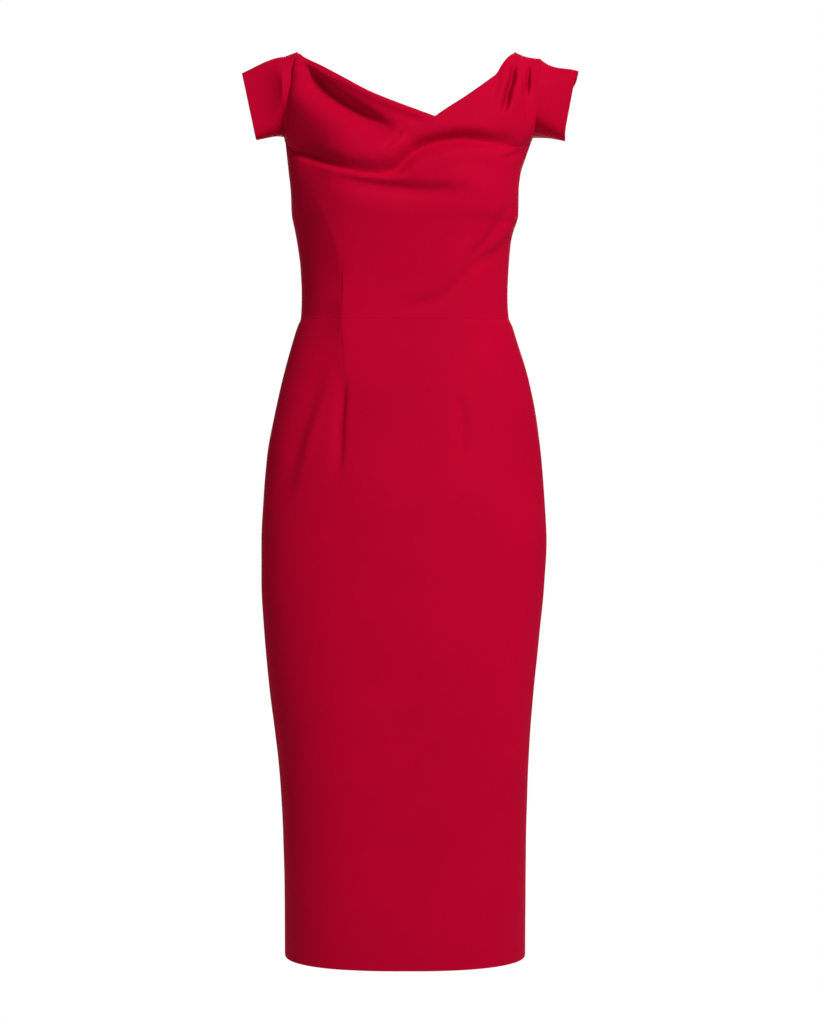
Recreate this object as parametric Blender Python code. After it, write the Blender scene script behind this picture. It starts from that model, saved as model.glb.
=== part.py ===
"""Off-shoulder midi dress with a draped crossover bodice and a pencil skirt, hollow, as it is worn.

Sizes are in millimetres in the tables and functions, and turn to metres where a mesh is made.
+Z is up, the front faces -Y and +X is the viewer's right. The origin is midway between the two
shoulder points, where the wearer's shoulders carry the dress, so the whole dress hangs below it.

Every panel of cloth is a wall: a grid of points on the outside of the cloth, and the same grid
moved in along the cloth's normals. Panels part at their seams by SEAM_GAP.
"""

import math
from collections import namedtuple

import bmesh
import bpy
import numpy as np

MM = 0.001
CLOTH = 1.6  # thickness of the crepe with its self lining
SEAM_GAP = 0.3  # between two panels, and between a panel and what lies on it

# ---------------------------------------------------------------- driving sizes

WAIST = -310.0  # height of the waist seam at the sides
WAIST_DIP = 4.0  # how much lower the waist seam is at the centre front, and higher behind
HEM = -1043.0
UNDERARM = -96.0
NECK_HALF = 125.0  # from the centre to where the neckline meets the shoulder seam
V_POINT = (32.4, -90.7)  # x and height of the point of the V neckline
CROSSING = 0.462  # share of the front's girth, from the left, where the two drapes part
ARM_DEPTH = 54.0  # how far the armhole reaches ahead of and behind the side seam
LEFT_ARM_EXTRA = 8.0  # how much further ahead the left one reaches
ARM_SQUARE = 46.0  # how much further it reaches low down, which makes it squarer there
CUFF_DEPTH = 50.0
CUFF_SQUARE = 6.0  # 2 is an ellipse, more is squarer
BACK_NECK = -100.0  # height of the back neckline at the centre
BACK_YOKE = -150.0  # at the centre, below this height the back follows the body's sections

# Sections of the body that the dress is cut for. left, right: half widths from the centre line.
# front, back: depths from the side seams. square: 2 is an ellipse, more is squarer.
Station = namedtuple("Station", "height left right front back square")
STATIONS = [
    Station(-1060.0, 139.8, 137.8, 115.0, 108.0, 2.05),
    Station(-1043.0, 140.0, 138.0, 115.0, 108.0, 2.05),
    Station(-980.0, 140.3, 138.2, 113.5, 108.0, 2.1),
    Station(-890.0, 142.6, 139.2, 112.0, 109.0, 2.15),
    Station(-820.0, 147.3, 141.5, 112.0, 111.0, 2.2),
    Station(-750.0, 156.2, 146.4, 113.0, 115.0, 2.2),
    Station(-680.0, 163.0, 153.4, 114.0, 120.0, 2.2),
    Station(-611.0, 167.2, 160.2, 112.0, 126.0, 2.2),
    Station(-565.0, 167.2, 162.4, 110.0, 128.0, 2.2),
    Station(-518.0, 164.9, 160.3, 107.0, 126.0, 2.2),
    Station(-472.0, 161.3, 156.8, 103.0, 120.0, 2.2),
    Station(-426.0, 153.3, 151.0, 99.0, 111.0, 2.2),
    Station(-379.0, 142.8, 141.7, 94.0, 100.0, 2.2),
    Station(-333.0, 130.3, 127.8, 89.5, 88.5, 2.2),
    Station(-318.0, 125.5, 123.2, 88.5, 86.5, 2.2),
    Station(-308.0, 121.8, 119.0, 88.0, 85.0, 2.2),
    Station(-281.0, 120.8, 117.4, 89.0, 83.0, 2.2),
    Station(-253.0, 121.9, 118.4, 93.0, 82.0, 2.2),
    Station(-225.0, 125.4, 120.8, 98.5, 82.0, 2.25),
    Station(-206.0, 128.8, 124.2, 103.0, 82.5, 2.25),
    Station(-190.0, 132.0, 129.8, 107.0, 83.0, 2.3),
    Station(-160.0, 133.6, 130.2, 112.5, 84.0, 2.2),
    Station(-141.0, 135.8, 132.4, 112.0, 84.5, 2.1),
    Station(-120.0, 138.0, 139.0, 109.0, 84.5, 2.0),
    Station(-107.0, 139.4, 143.6, 106.0, 84.0, 2.0),
    Station(-96.0, 140.4, 147.2, 103.0, 83.0, 2.0),
    Station(-60.0, 141.0, 148.0, 94.0, 80.0, 2.0),
]

FRONT_SQUARE = 0.4  # how much squarer the front is than the back
NECK_SQUARE = 2.2  # the same measure for the front neckline, seen from above

# The fullness that the bust darts give, on each side of the centre front.
CUP_FULLNESS = 6.0
CUP_AT = (66.0, -152.0)
CUP_SPREAD = (36.0, 40.0)

# The seam under the drapes, from the left underarm across the bust to the right underarm.
# girth: share of the front's girth from the left.
SeamRow = namedtuple("SeamRow", "girth height")
BUST_SEAM = [
    SeamRow(0.000, UNDERARM),
    SeamRow(0.064, -111.0),
    SeamRow(0.180, -126.0),
    SeamRow(0.313, -142.0),
    SeamRow(0.446, -153.0),
    SeamRow(0.488, -155.0),
    SeamRow(0.540, -145.0),
    SeamRow(0.610, -125.5),
    SeamRow(0.700, -117.5),
    SeamRow(0.820, -117.5),
    SeamRow(0.945, -108.0),
    SeamRow(1.000, UNDERARM),
]

# The shoulder seams, from the arm to the neck, and the neckline from there to the V, as seen from
# the front.
EdgePoint = namedtuple("EdgePoint", "x height")
LEFT_SHOULDER = [EdgePoint(-141.0, -6.0), EdgePoint(-NECK_HALF, 0.0)]
LEFT_NECK = [
    EdgePoint(-NECK_HALF, 0.0),
    EdgePoint(-124.9, -1.2),
    EdgePoint(-124.3, -3.0),
    EdgePoint(-122.0, -5.6),
    EdgePoint(-116.6, -12.0),
    EdgePoint(-106.8, -19.7),
    EdgePoint(-96.1, -26.8),
    EdgePoint(-69.5, -44.2),
    EdgePoint(-40.1, -62.0),
    EdgePoint(-6.6, -76.5),
    EdgePoint(*V_POINT),
]
RIGHT_SHOULDER = [
    EdgePoint(155.0, -8.0),
    EdgePoint(144.0, -6.6),
    EdgePoint(134.5, -4.2),
    EdgePoint(NECK_HALF, 0.0),
]
RIGHT_NECK = [
    EdgePoint(NECK_HALF, 0.0),
    EdgePoint(124.9, -1.2),
    EdgePoint(124.3, -3.0),
    EdgePoint(122.3, -5.4),
    EdgePoint(116.0, -12.8),
    EdgePoint(108.0, -24.6),
    EdgePoint(102.6, -35.0),
    EdgePoint(91.4, -45.7),
    EdgePoint(65.0, -67.2),
    EdgePoint(43.6, -82.3),
    EdgePoint(*V_POINT),
]
NECK_DEPTH = 112.0  # depth of the neckline at the centre front, at the height of the V
NECK_LEAN = 0.12  # how much the chest goes back for each millimetre up
BACK_NECK_DEPTH = 84.0
BACK_NECK_POWER = 2.6  # 2 is a parabola, more is flatter at the centre
SHOULDER_ROUND = 0.8  # how much fuller the cloth goes over the shoulder
CHEST_LEAN = math.radians(6)  # how far the chest leans back at the neckline
BACK_LEAN = math.radians(10)  # how far the back leans forward at its neckline
ARCH_FADE = 4  # how fast a panel leaves the arch of its armhole, away from it
ARCH_PEAK = 4  # makes the arch's curve, share * (1 - share), reach 1
LEAN_POWER = 1.5  # how late, from the chest to the shoulder, the lean turns to level
EDGE_SAMPLES = 600  # along the neckline, closer together near the shoulder
BACK_EDGE_SAMPLES = 400
TURN_STEP, HEIGHT_STEP = 0.002, 1.0  # for directions on the body

# The cuffs, seen from the front. Each turns in a little at the front. bow: how far its middle is
# drawn in. crown: how much higher the sleeve's top lies than a straight line, minus is lower.
Cuff = namedtuple("Cuff", "bottom_x bottom_height top_x top_height bow crown")
CUFFS = {
    -1: Cuff(-172.6, -109.0, -189.6, -28.4, 0.3, 1.5),
    1: Cuff(183.0, -111.0, 199.0, -26.8, 3.0, -4.4),
}
CUFF_TURN = 0.03
CUFF_BACK = {-1: 3.0, 1: -2.0}  # how far the cuffs lie behind the armholes
CUFF_TILT = 0.18  # how much the underside of a sleeve rises towards the back
SLEEVE_FLAT = {-1: 3.0, 1: 1.4}  # how soon a sleeve gets its cuff's flat form
SLEEVE_DROP = 6.0  # how far below the underarm that form starts
ARMHOLE_BACK = 3.0  # how far behind the side seam its middle is there
CROWN_PEAK = 27 / 4  # makes the crown's curve, share * (1 - share)^2, reach 1

# Soft troughs and ridges in the front of the cloth. depth: out of the cloth, minus is inwards.
# left, right: how far the fold reaches to each side, as one walks along its line.
# straight: whether it goes straight back, not out from the body.
# share: how much of the depth the fold has at that point of its line.
Fold = namedtuple("Fold", "name depth left right straight line")
FoldPoint = namedtuple("FoldPoint", "x height share")
FOLDS = [
    Fold(
        "roll along the left neckline", 3.0, 5.0, 5.0, False,
        [
            FoldPoint(-118.0, -17.0, 0.3),
            FoldPoint(-96.0, -34.0, 1.0),
            FoldPoint(-68.0, -50.0, 1.0),
            FoldPoint(-39.0, -67.0, 1.0),
            FoldPoint(-5.0, -82.0, 1.0),
            FoldPoint(15.0, -89.0, 0.8),
            FoldPoint(29.0, -93.0, 0.3),
        ],
    ),
    Fold(
        "furrow under the left neckline", -14.0, 8.0, 16.0, False,
        [
            FoldPoint(-122.0, -26.0, 0.0),
            FoldPoint(-113.0, -36.0, 0.6),
            FoldPoint(-100.0, -51.0, 1.0),
            FoldPoint(-83.0, -65.0, 1.0),
            FoldPoint(-64.0, -78.0, 1.0),
            FoldPoint(-45.0, -90.0, 0.85),
            FoldPoint(-26.0, -101.0, 0.5),
            FoldPoint(-10.0, -109.0, 0.0),
        ],
    ),
    Fold(
        "hollow inside the left arm", -10.0, 14.0, 24.0, True,
        [
            FoldPoint(-152.0, -72.0, 0.3),
            FoldPoint(-143.0, -86.0, 0.9),
            FoldPoint(-132.0, -101.0, 1.0),
            FoldPoint(-120.0, -114.0, 1.0),
            FoldPoint(-108.0, -126.0, 0.8),
            FoldPoint(-94.0, -138.0, 0.3),
            FoldPoint(-82.0, -146.0, 0.0),
        ],
    ),
    Fold(
        "left drape drawn in to the bust seam", -6.0, 10.0, 6.0, False,
        [
            FoldPoint(-134.0, -116.0, 0.2),
            FoldPoint(-119.0, -126.0, 0.7),
            FoldPoint(-103.0, -134.0, 0.9),
            FoldPoint(-83.0, -143.0, 1.0),
            FoldPoint(-57.0, -151.0, 1.0),
            FoldPoint(-31.0, -154.0, 1.0),
            FoldPoint(-12.0, -152.0, 0.8),
            FoldPoint(2.0, -145.0, 0.3),
            FoldPoint(10.0, -140.0, 0.0),
        ],
    ),
    Fold(
        "pouch of the left drape over the seam", 7.0, 17.0, 26.0, False,
        [
            FoldPoint(-98.0, -118.0, 0.0),
            FoldPoint(-80.0, -124.0, 0.4),
            FoldPoint(-62.0, -128.0, 0.9),
            FoldPoint(-42.0, -130.0, 1.0),
            FoldPoint(-22.0, -130.0, 1.0),
            FoldPoint(-8.0, -126.0, 0.6),
            FoldPoint(6.0, -118.0, 0.0),
        ],
    ),
    Fold(
        "trough across the bust", -11.0, 9.0, 8.0, False,
        [
            FoldPoint(-28.0, -155.0, 0.0),
            FoldPoint(-12.0, -148.0, 0.5),
            FoldPoint(2.0, -136.0, 0.8),
            FoldPoint(16.0, -126.0, 0.8),
            FoldPoint(34.0, -120.0, 0.9),
            FoldPoint(54.0, -116.0, 1.0),
            FoldPoint(74.0, -114.0, 1.0),
            FoldPoint(94.0, -115.0, 0.8),
            FoldPoint(115.0, -115.0, 0.4),
            FoldPoint(127.0, -117.0, 0.0),
        ],
    ),
    Fold(
        "lip under the trough", 2.5, 7.0, 12.0, False,
        [
            FoldPoint(6.0, -154.0, 0.3),
            FoldPoint(20.0, -146.0, 1.0),
            FoldPoint(38.0, -137.0, 1.0),
            FoldPoint(54.0, -130.0, 1.0),
            FoldPoint(76.0, -128.0, 1.0),
            FoldPoint(98.0, -128.0, 0.8),
            FoldPoint(116.0, -128.0, 0.2),
        ],
    ),
    Fold(
        "second trough, below the bust seam", -6.0, 7.0, 12.0, False,
        [
            FoldPoint(-82.0, -158.0, 0.0),
            FoldPoint(-68.0, -162.0, 0.5),
            FoldPoint(-52.0, -165.0, 0.9),
            FoldPoint(-35.0, -168.0, 1.0),
            FoldPoint(-7.0, -171.0, 1.0),
            FoldPoint(27.0, -173.0, 0.9),
            FoldPoint(49.0, -173.0, 0.6),
            FoldPoint(69.0, -172.0, 0.2),
            FoldPoint(82.0, -170.0, 0.0),
        ],
    ),
    Fold(
        "pleat from the right shoulder, at the neck", -7.0, 4.5, 4.5, True,
        [
            FoldPoint(125.0, -21.0, 0.3),
            FoldPoint(121.5, -30.0, 0.8),
            FoldPoint(120.4, -41.0, 1.0),
            FoldPoint(116.5, -53.0, 1.0),
            FoldPoint(113.5, -67.0, 0.9),
            FoldPoint(111.0, -78.0, 0.4),
            FoldPoint(110.0, -85.0, 0.0),
        ],
    ),
    Fold(
        "pleat from the right shoulder, at the arm", -4.0, 4.0, 4.0, True,
        [
            FoldPoint(139.7, -21.0, 0.0),
            FoldPoint(139.7, -28.0, 0.6),
            FoldPoint(139.0, -37.0, 1.0),
            FoldPoint(138.4, -47.0, 1.0),
            FoldPoint(137.5, -55.0, 0.5),
            FoldPoint(137.0, -63.0, 0.0),
        ],
    ),
    Fold(
        "drape from the right side to the waist", -3.0, 8.0, 8.0, False,
        [
            FoldPoint(115.0, -224.0, 0.4),
            FoldPoint(111.0, -230.0, 0.7),
            FoldPoint(75.0, -257.0, 1.0),
            FoldPoint(43.0, -290.0, 1.0),
            FoldPoint(15.0, -299.0, 0.9),
            FoldPoint(-10.0, -307.0, 0.0),
        ],
    ),
    Fold(
        "hollow under the left waist dart", -3.0, 8.0, 9.0, False,
        [
            FoldPoint(-67.0, -376.0, 0.0),
            FoldPoint(-69.4, -390.0, 0.5),
            FoldPoint(-71.7, -407.0, 0.9),
            FoldPoint(-73.0, -424.0, 1.0),
            FoldPoint(-74.0, -441.0, 1.0),
            FoldPoint(-74.0, -457.0, 0.9),
            FoldPoint(-75.0, -474.0, 0.6),
            FoldPoint(-77.0, -494.0, 0.2),
            FoldPoint(-79.0, -508.0, 0.0),
        ],
    ),
    Fold(
        "hollow over the left hip", -2.5, 12.0, 12.0, False,
        [
            FoldPoint(-86.0, -348.0, 0.0),
            FoldPoint(-98.0, -394.0, 0.8),
            FoldPoint(-115.0, -433.0, 1.0),
            FoldPoint(-133.0, -497.0, 0.7),
            FoldPoint(-147.0, -532.0, 0.0),
        ],
    ),
    Fold(
        "turn of the left side of the bodice", 4.0, 13.0, 26.0, False,
        [
            FoldPoint(-69.0, -322.0, 1.0),
            FoldPoint(-69.0, -284.0, 1.0),
            FoldPoint(-71.6, -253.0, 1.0),
            FoldPoint(-78.0, -228.0, 0.8),
            FoldPoint(-87.5, -205.0, 0.6),
            FoldPoint(-99.0, -181.0, 0.4),
            FoldPoint(-110.0, -160.0, 0.0),
        ],
    ),
    Fold(
        "turn of the left side of the skirt", 3.5, 13.0, 26.0, False,
        [
            FoldPoint(-72.0, -410.0, 0.0),
            FoldPoint(-70.0, -385.0, 0.5),
            FoldPoint(-69.0, -350.0, 0.9),
            FoldPoint(-69.0, -318.0, 1.0),
            FoldPoint(-69.0, -300.0, 1.0),
        ],
    ),
]
FOLD_STEPS = 24  # straight steps along a fold's line
FOLD_FADE = 0.3  # folds fade where the cloth turns this near to facing sideways
BODY_HALF, BODY_DEPTH = 140.0, 100.0  # the ellipse whose level normals the folds follow

# Concealed zip at the centre back.
ZIP_END = -500.0  # height of its lower end
TAPE = 1.0  # thickness of the zip's tapes
SLIDER_TOP = -103.0
SLIDER_SIZE = (4.6, 1.2, 11.0)  # across, out of the cloth, and down
BAIL_SIZE = (1.6, 3.4, 8.0)  # the loop on the slider that holds the pull tab
BAIL_WALL = 0.9
TAB_THICK = 1.2
TAB_LENGTH = 24.0
TAB_HALVES = (2.8, 3.6)  # half widths at the top and at the bottom
TAB_WINDOW = (1.6, 5.2)  # half width of its window, and how far down the window reaches
TAB_END_STEPS = 4
BAIL_STEPS = 12
SLIDER_SPOTS = 12  # heights at which the cloth behind the slider is measured
PIVOT_OUT = 2.4  # from the slider's inner face to the pull tab's axis

# Each material's colour, roughness and sheen.
Look = namedtuple("Look", "colour roughness sheen")
LOOKS = {
    "red_crepe": Look((0.51, 0.0013, 0.027), 0.62, 0.3),
    "zip_tape": Look((0.40, 0.002, 0.022), 0.8, 0.0),
    "zip_metal": Look((0.42, 0.003, 0.025), 0.35, 0.0),
}
SHARP_ANGLE = math.radians(50)
RIM_REACH = 12.0  # rims this near each other share their direction
RIM_NEAR = 2.0

# How the panels are divided.
LEFT_COLUMNS, RIGHT_COLUMNS = 20, 25
LEFT_SHOULDER_SHARE, RIGHT_SHOULDER_SHARE = 2 / 20, 5 / 25  # of the drapes' top edges
BACK_COLUMNS = 12
BACK_SHOULDER_SHARE = {-1: 2 / 12, 1: 3 / 12}
LOWER_ROWS, BACK_LOWER_ROWS, SKIRT_ROWS, SLEEVE_ROWS = 12, 12, 22, 5
FRONT_ROWS, BACK_ROWS = 18, 10
SKIRT_FRONT_COLUMNS, SKIRT_BACK_COLUMNS = 24, 12
PANEL_EASE, FRONT_EASE, SKIRT_EASE = 0.5, 0.4, 0.2  # how much closer rows are near their ends

# ---------------------------------------------------------------- curves


def hermite(start, leave, end, arrive, t):
    """The cubic from start to end that leaves and arrives with the given directions."""
    return (
        (2 * t**3 - 3 * t**2 + 1) * start
        + (t**3 - 2 * t**2 + t) * leave
        + (3 * t**2 - 2 * t**3) * end
        + (t**3 - t**2) * arrive
    )


def smooth_curve(rows):
    """A function through (place, value, ...) rows that stays between neighbouring values."""
    table = np.array(sorted(tuple(map(float, row)) for row in rows))
    at, values = table[:, 0], table[:, 1:]
    step = np.diff(at)[:, None]
    rise = np.diff(values, axis=0) / step
    slope = np.zeros_like(values)
    slope[0], slope[-1] = rise[0], rise[-1]
    before, after = 2 * step[1:] + step[:-1], step[1:] + 2 * step[:-1]
    same_way = rise[:-1] * rise[1:] > 0
    first, second = np.where(same_way, rise[:-1], 1.0), np.where(same_way, rise[1:], 1.0)
    mean = (before + after) / (before / first + after / second)
    slope[1:-1] = np.where(same_way, mean, 0.0)

    def value(place):
        place = np.clip(np.asarray(place, float), at[0], at[-1])
        i = np.clip(np.searchsorted(at, place) - 1, 0, len(at) - 2)
        width = (at[i + 1] - at[i])[..., None]
        t = (place - at[i])[..., None] / width
        return hermite(values[i], slope[i] * width, values[i + 1], slope[i + 1] * width, t)

    return value


def line_through(points):
    """A function from 0 to 1 along a smooth line, even by length as seen from the front."""
    points = np.array(points, float)
    lengths = np.linalg.norm(np.diff(points[:, :2], axis=0), axis=1)
    place = np.concatenate([[0], np.cumsum(lengths)])
    curve = smooth_curve(np.column_stack([place, points]))
    return lambda share: curve(share * place[-1])


def eased(count, ease):
    """Shares from 0 to 1, closer together at both ends."""
    even = np.linspace(0, 1, count + 1)
    return (1 - ease) * even + ease * (1 - np.cos(math.pi * even)) / 2


def unit(vectors):
    return vectors / np.maximum(np.linalg.norm(vectors, axis=-1, keepdims=True), 1e-9)


def smooth_step(x):
    x = np.clip(x, 0, 1)
    return x * x * (3 - 2 * x)


# ---------------------------------------------------------------- the body's form

section = smooth_curve(STATIONS)
bust_seam = smooth_curve(BUST_SEAM)
front_shares = eased(FRONT_ROWS, PANEL_EASE)
back_shares = eased(BACK_ROWS, PANEL_EASE)


def body_point(turn, height):
    """A point on the outside of the cloth. turn: 0 at the left side seam, 0.25 centre front,
    0.5 right side seam, 0.75 centre back."""
    turn, height = np.broadcast_arrays(np.asarray(turn, float), np.asarray(height, float))
    left, right, front, back, square = np.moveaxis(section(height), -1, 0)
    across, ahead = -np.cos(2 * np.pi * turn), np.sin(2 * np.pi * turn)
    square = square + FRONT_SQUARE * (ahead > 0)
    middle, half = (right - left) / 2, (right + left) / 2
    x = middle + half * np.sign(across) * abs(across) ** (2 / square)
    depth = np.where(ahead > 0, front, back)
    y = -depth * np.sign(ahead) * abs(ahead) ** (2 / square)
    off_x, off_z = (abs(x) - CUP_AT[0]) / CUP_SPREAD[0], (height - CUP_AT[1]) / CUP_SPREAD[1]
    y = y - CUP_FULLNESS * np.clip(ahead, 0, 1) * np.exp(-(off_x**2) - off_z**2)
    return np.stack([x, y, height], axis=-1)


def waist_height(turn):
    return WAIST - WAIST_DIP * np.sin(2 * np.pi * turn)


def neck_point(edge):
    """A point of the front neckline or a shoulder seam, from its x and height."""
    x, height = edge[:, 0], edge[:, 1]
    depth = NECK_DEPTH - NECK_LEAN * (height - V_POINT[1])
    y = -depth * np.clip(1 - abs(x / NECK_HALF) ** NECK_SQUARE, 0, None) ** (1 / NECK_SQUARE)
    return np.stack([x, y, height], axis=-1)


def back_neck_point(x):
    height = BACK_NECK * (1 - abs(x / NECK_HALF) ** BACK_NECK_POWER)
    y = BACK_NECK_DEPTH * np.sqrt(np.clip(1 - (x / NECK_HALF) ** 2, 0, None))
    return np.stack([x, y, height], axis=-1)


def outwards(points):
    """The level direction straight out of the body at each point."""
    across, ahead = points[..., 0] / BODY_HALF**2, points[..., 1] / BODY_DEPTH**2
    return unit(np.stack([across, ahead, 0 * across], axis=-1))


def fold_rise(x, height, fold):
    """One fold: a bell across its line, as strong along it as its points' shares say."""
    near = np.full(x.shape, np.inf)
    rise = np.zeros(x.shape)
    points = line_through(fold.line)(np.linspace(0, 1, FOLD_STEPS + 1))
    for start, end in zip(points[:-1], points[1:]):
        run = end - start
        t = ((x - start[0]) * run[0] + (height - start[1]) * run[1]) / (run[:2] @ run[:2])
        t = np.clip(t, 0, 1)
        off_x, off_z = x - start[0] - t * run[0], height - start[1] - t * run[1]
        gap = np.hypot(off_x, off_z)
        reach = np.where(run[0] * off_z - run[1] * off_x > 0, fold.left, fold.right)
        bell = fold.depth * (start[2] + t * run[2]) * np.exp(-((gap / reach) ** 2))
        rise = np.where(gap < near, bell, rise)
        near = np.minimum(near, gap)
    return rise


def folded(grid):
    """The grid with every fold in it."""
    out = outwards(grid)
    front = np.clip(-out[..., 1] / FOLD_FADE, 0, 1)
    front = front**2 * (3 - 2 * front)
    x, height = grid[..., 0], grid[..., 2]
    rise = sum((fold_rise(x, height, fold) for fold in FOLDS if not fold.straight), 0 * x)
    ahead = sum((fold_rise(x, height, fold) for fold in FOLDS if fold.straight), 0 * x)
    result = grid + out * (rise * front)[..., None]
    result[..., 1] -= ahead * front
    return result


# ---------------------------------------------------------------- the panels' grids


def body_panel(turns, low, high, shares):
    """A grid on the body between two lines of heights, one height for each turn."""
    heights = low + (high - low) * shares[:, None]
    return body_point(turns + 0 * heights, heights)


def upper_panel(turns, heights, edge, spread, rear, lean, shares):
    """A grid from the body up to a top edge. spread: shares from 0 at the armhole, where the
    panel's side is the armhole's arch. rear: -1 on the front, 1 on the back."""
    top = edge(spread)
    bottom = body_point(turns, heights)
    chord = top - bottom
    length = np.linalg.norm(chord, axis=-1, keepdims=True)
    up = body_point(turns, heights + HEIGHT_STEP) - body_point(turns, heights - HEIGHT_STEP)
    across = body_point(turns + TURN_STEP, heights) - body_point(turns - TURN_STEP, heights)
    normal = unit(np.cross(across, up))
    on_body = unit(chord - normal * (chord * normal).sum(axis=-1, keepdims=True))
    reach = ARM_DEPTH + LEFT_ARM_EXTRA * (rear < 0 and top[0, 0] < 0)
    arch = np.array([0, rear * ARCH_PEAK * reach, 0])
    arch_share = (1 - spread[:, None]) ** ARCH_FADE
    leave = (1 - arch_share) * on_body * length + arch_share * arch
    over = np.clip(1 - abs(top[:, 1:2]) / NECK_DEPTH, 0, 1)
    lean = lean + (math.pi / 2 - lean) * over**LEAN_POWER
    ahead = np.concatenate([0 * lean, -rear * np.sin(lean), np.cos(lean)], axis=1)
    arrive = (1 - arch_share) * ahead * length * (1 + SHOULDER_ROUND * over) - arch_share * arch
    grid = hermite(bottom, leave, top, arrive, shares[:, None, None])
    bulge = ARCH_PEAK * shares * (1 - shares)
    squarer = np.where(shares < 0.5, bulge * (1 - bulge), 0)
    grid[..., 1] += rear * ARM_SQUARE * squarer[:, None] * arch_share[:, 0]
    return grid


def along_line(line, shares):
    """Points of a shoulder seam or the front neckline, even by its true length."""
    points = neck_point(line_through(line)(np.linspace(0, 1, EDGE_SAMPLES + 1) ** 2))
    steps = np.linalg.norm(np.diff(points, axis=0), axis=1)
    length = np.concatenate([[0], np.cumsum(steps)])
    place = np.clip(shares, 0, 1) * length[-1]
    return np.stack([np.interp(place, length, points[:, k]) for k in range(3)], axis=-1)


def front_girths():
    """Where the front's columns stand, as shares of its girth: left drape, right drape."""
    left = CROSSING * np.linspace(0, 1, LEFT_COLUMNS + 1)
    right = CROSSING + (1 - CROSSING) * np.linspace(0, 1, RIGHT_COLUMNS + 1)
    return left, right


def drape(girths, spread, shoulder, neck, corner):
    """One side of the crossover. spread: shares of its width, from 0 at the arm to 1 at the V."""

    def edge(shares):
        on_shoulder = along_line(shoulder, shares / corner)
        on_neck = along_line(neck, (shares - corner) / (1 - corner))
        return np.where((shares < corner)[:, None], on_shoulder, on_neck)

    heights = bust_seam(girths)[:, 0]
    return upper_panel(girths / 2, heights, edge, spread, -1, CHEST_LEAN, front_shares)


def drape_left():
    spread = np.linspace(0, 1, LEFT_COLUMNS + 1)
    return drape(front_girths()[0], spread, LEFT_SHOULDER, LEFT_NECK, LEFT_SHOULDER_SHARE)


def drape_right():
    spread = np.linspace(1, 0, RIGHT_COLUMNS + 1)
    return drape(front_girths()[1], spread, RIGHT_SHOULDER, RIGHT_NECK, RIGHT_SHOULDER_SHARE)


def bodice_front():
    left, right = front_girths()
    girths = np.concatenate([left, right[1:]])
    top = bust_seam(girths)[:, 0]
    shares = eased(LOWER_ROWS, FRONT_EASE)
    return body_panel(girths / 2, waist_height(girths / 2), top, shares)


def back_neck_edge(side, shares):
    """The back neckline, from the shoulder seam to the centre back."""
    x = np.linspace(side * NECK_HALF, body_point(0.75, BACK_YOKE)[0], BACK_EDGE_SAMPLES)
    steps = np.linalg.norm(np.diff(back_neck_point(x), axis=0), axis=1)
    length = np.concatenate([[0], np.cumsum(steps)])
    return back_neck_point(np.interp(shares * length[-1], length, x))


def back_turns(side, columns):
    """Turns from the side seam to the centre back. side: -1 left, 1 right."""
    return 0.75 + side * 0.25 * (np.linspace(0, 1, columns + 1) - 1)


def bodice_back(side):
    turns = back_turns(side, BACK_COLUMNS)
    spread = np.linspace(0, 1, BACK_COLUMNS + 1)
    yoke = UNDERARM + (BACK_YOKE - UNDERARM) * spread**2 * (3 - 2 * spread)
    lower = body_panel(turns, waist_height(turns), yoke, np.linspace(0, 1, BACK_LOWER_ROWS + 1))
    corner = BACK_SHOULDER_SHARE[side]
    shoulder = RIGHT_SHOULDER if side > 0 else LEFT_SHOULDER

    def edge(shares):
        on_shoulder = along_line(shoulder, shares / corner)
        on_neck = back_neck_edge(side, np.clip((shares - corner) / (1 - corner), 0, 1))
        return np.where((shares < corner)[:, None], on_shoulder, on_neck)

    upper = upper_panel(turns, yoke, edge, spread, 1, BACK_LEAN, back_shares)
    return np.concatenate([lower, upper[1:]])


def sleeve(side, front_edge, back_edge):
    """A short sleeve from the armhole's ring to its cuff. The columns go round the arm."""
    armhole = np.concatenate([front_edge, back_edge[-2:0:-1]])
    turn = math.pi * np.concatenate([front_shares, 2 - back_shares[-2:0:-1]])
    cuff = CUFFS[side]
    up = (1 - np.sign(np.cos(turn)) * abs(np.cos(turn)) ** (2 / CUFF_SQUARE)) / 2
    y = -CUFF_DEPTH * np.sign(np.sin(turn)) * abs(np.sin(turn)) ** (2 / CUFF_SQUARE)
    underarm, shoulder = armhole[0], armhole[len(front_edge) - 1]

    def ring(bottom, top, bow, behind):
        x = bottom[0] + (top[0] - bottom[0]) * up
        x = x + side * (CUFF_TURN * y - bow * np.sin(turn) ** 2)
        height = bottom[1] + (top[1] - bottom[1]) * up + CUFF_TILT * (y + CUFF_DEPTH) * (1 - up)
        return np.stack([x, y + behind, height], axis=-1)

    top = (shoulder[0], shoulder[2])
    start = ring((underarm[0], underarm[2] - SLEEVE_DROP), top, 0.0, ARMHOLE_BACK)
    bottom, top = (cuff.bottom_x, cuff.bottom_height), (cuff.top_x, cuff.top_height)
    end = ring(bottom, top, cuff.bow, CUFF_BACK[side])
    share = np.linspace(0, 1, SLEEVE_ROWS + 1)[:, None, None]
    near = (1 - share) ** SLEEVE_FLAT[side]
    grid = armhole * near + start * (1 - near) + (end - start) * share
    share = share[..., 0]
    grid[..., 2] += cuff.crown * up**2 * CROWN_PEAK * share * (1 - share) ** 2
    return grid


def skirt(turns):
    low = np.full(turns.shape, HEM)
    return body_panel(turns, low, waist_height(turns), eased(SKIRT_ROWS, SKIRT_EASE))


# ---------------------------------------------------------------- walls of cloth


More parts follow.
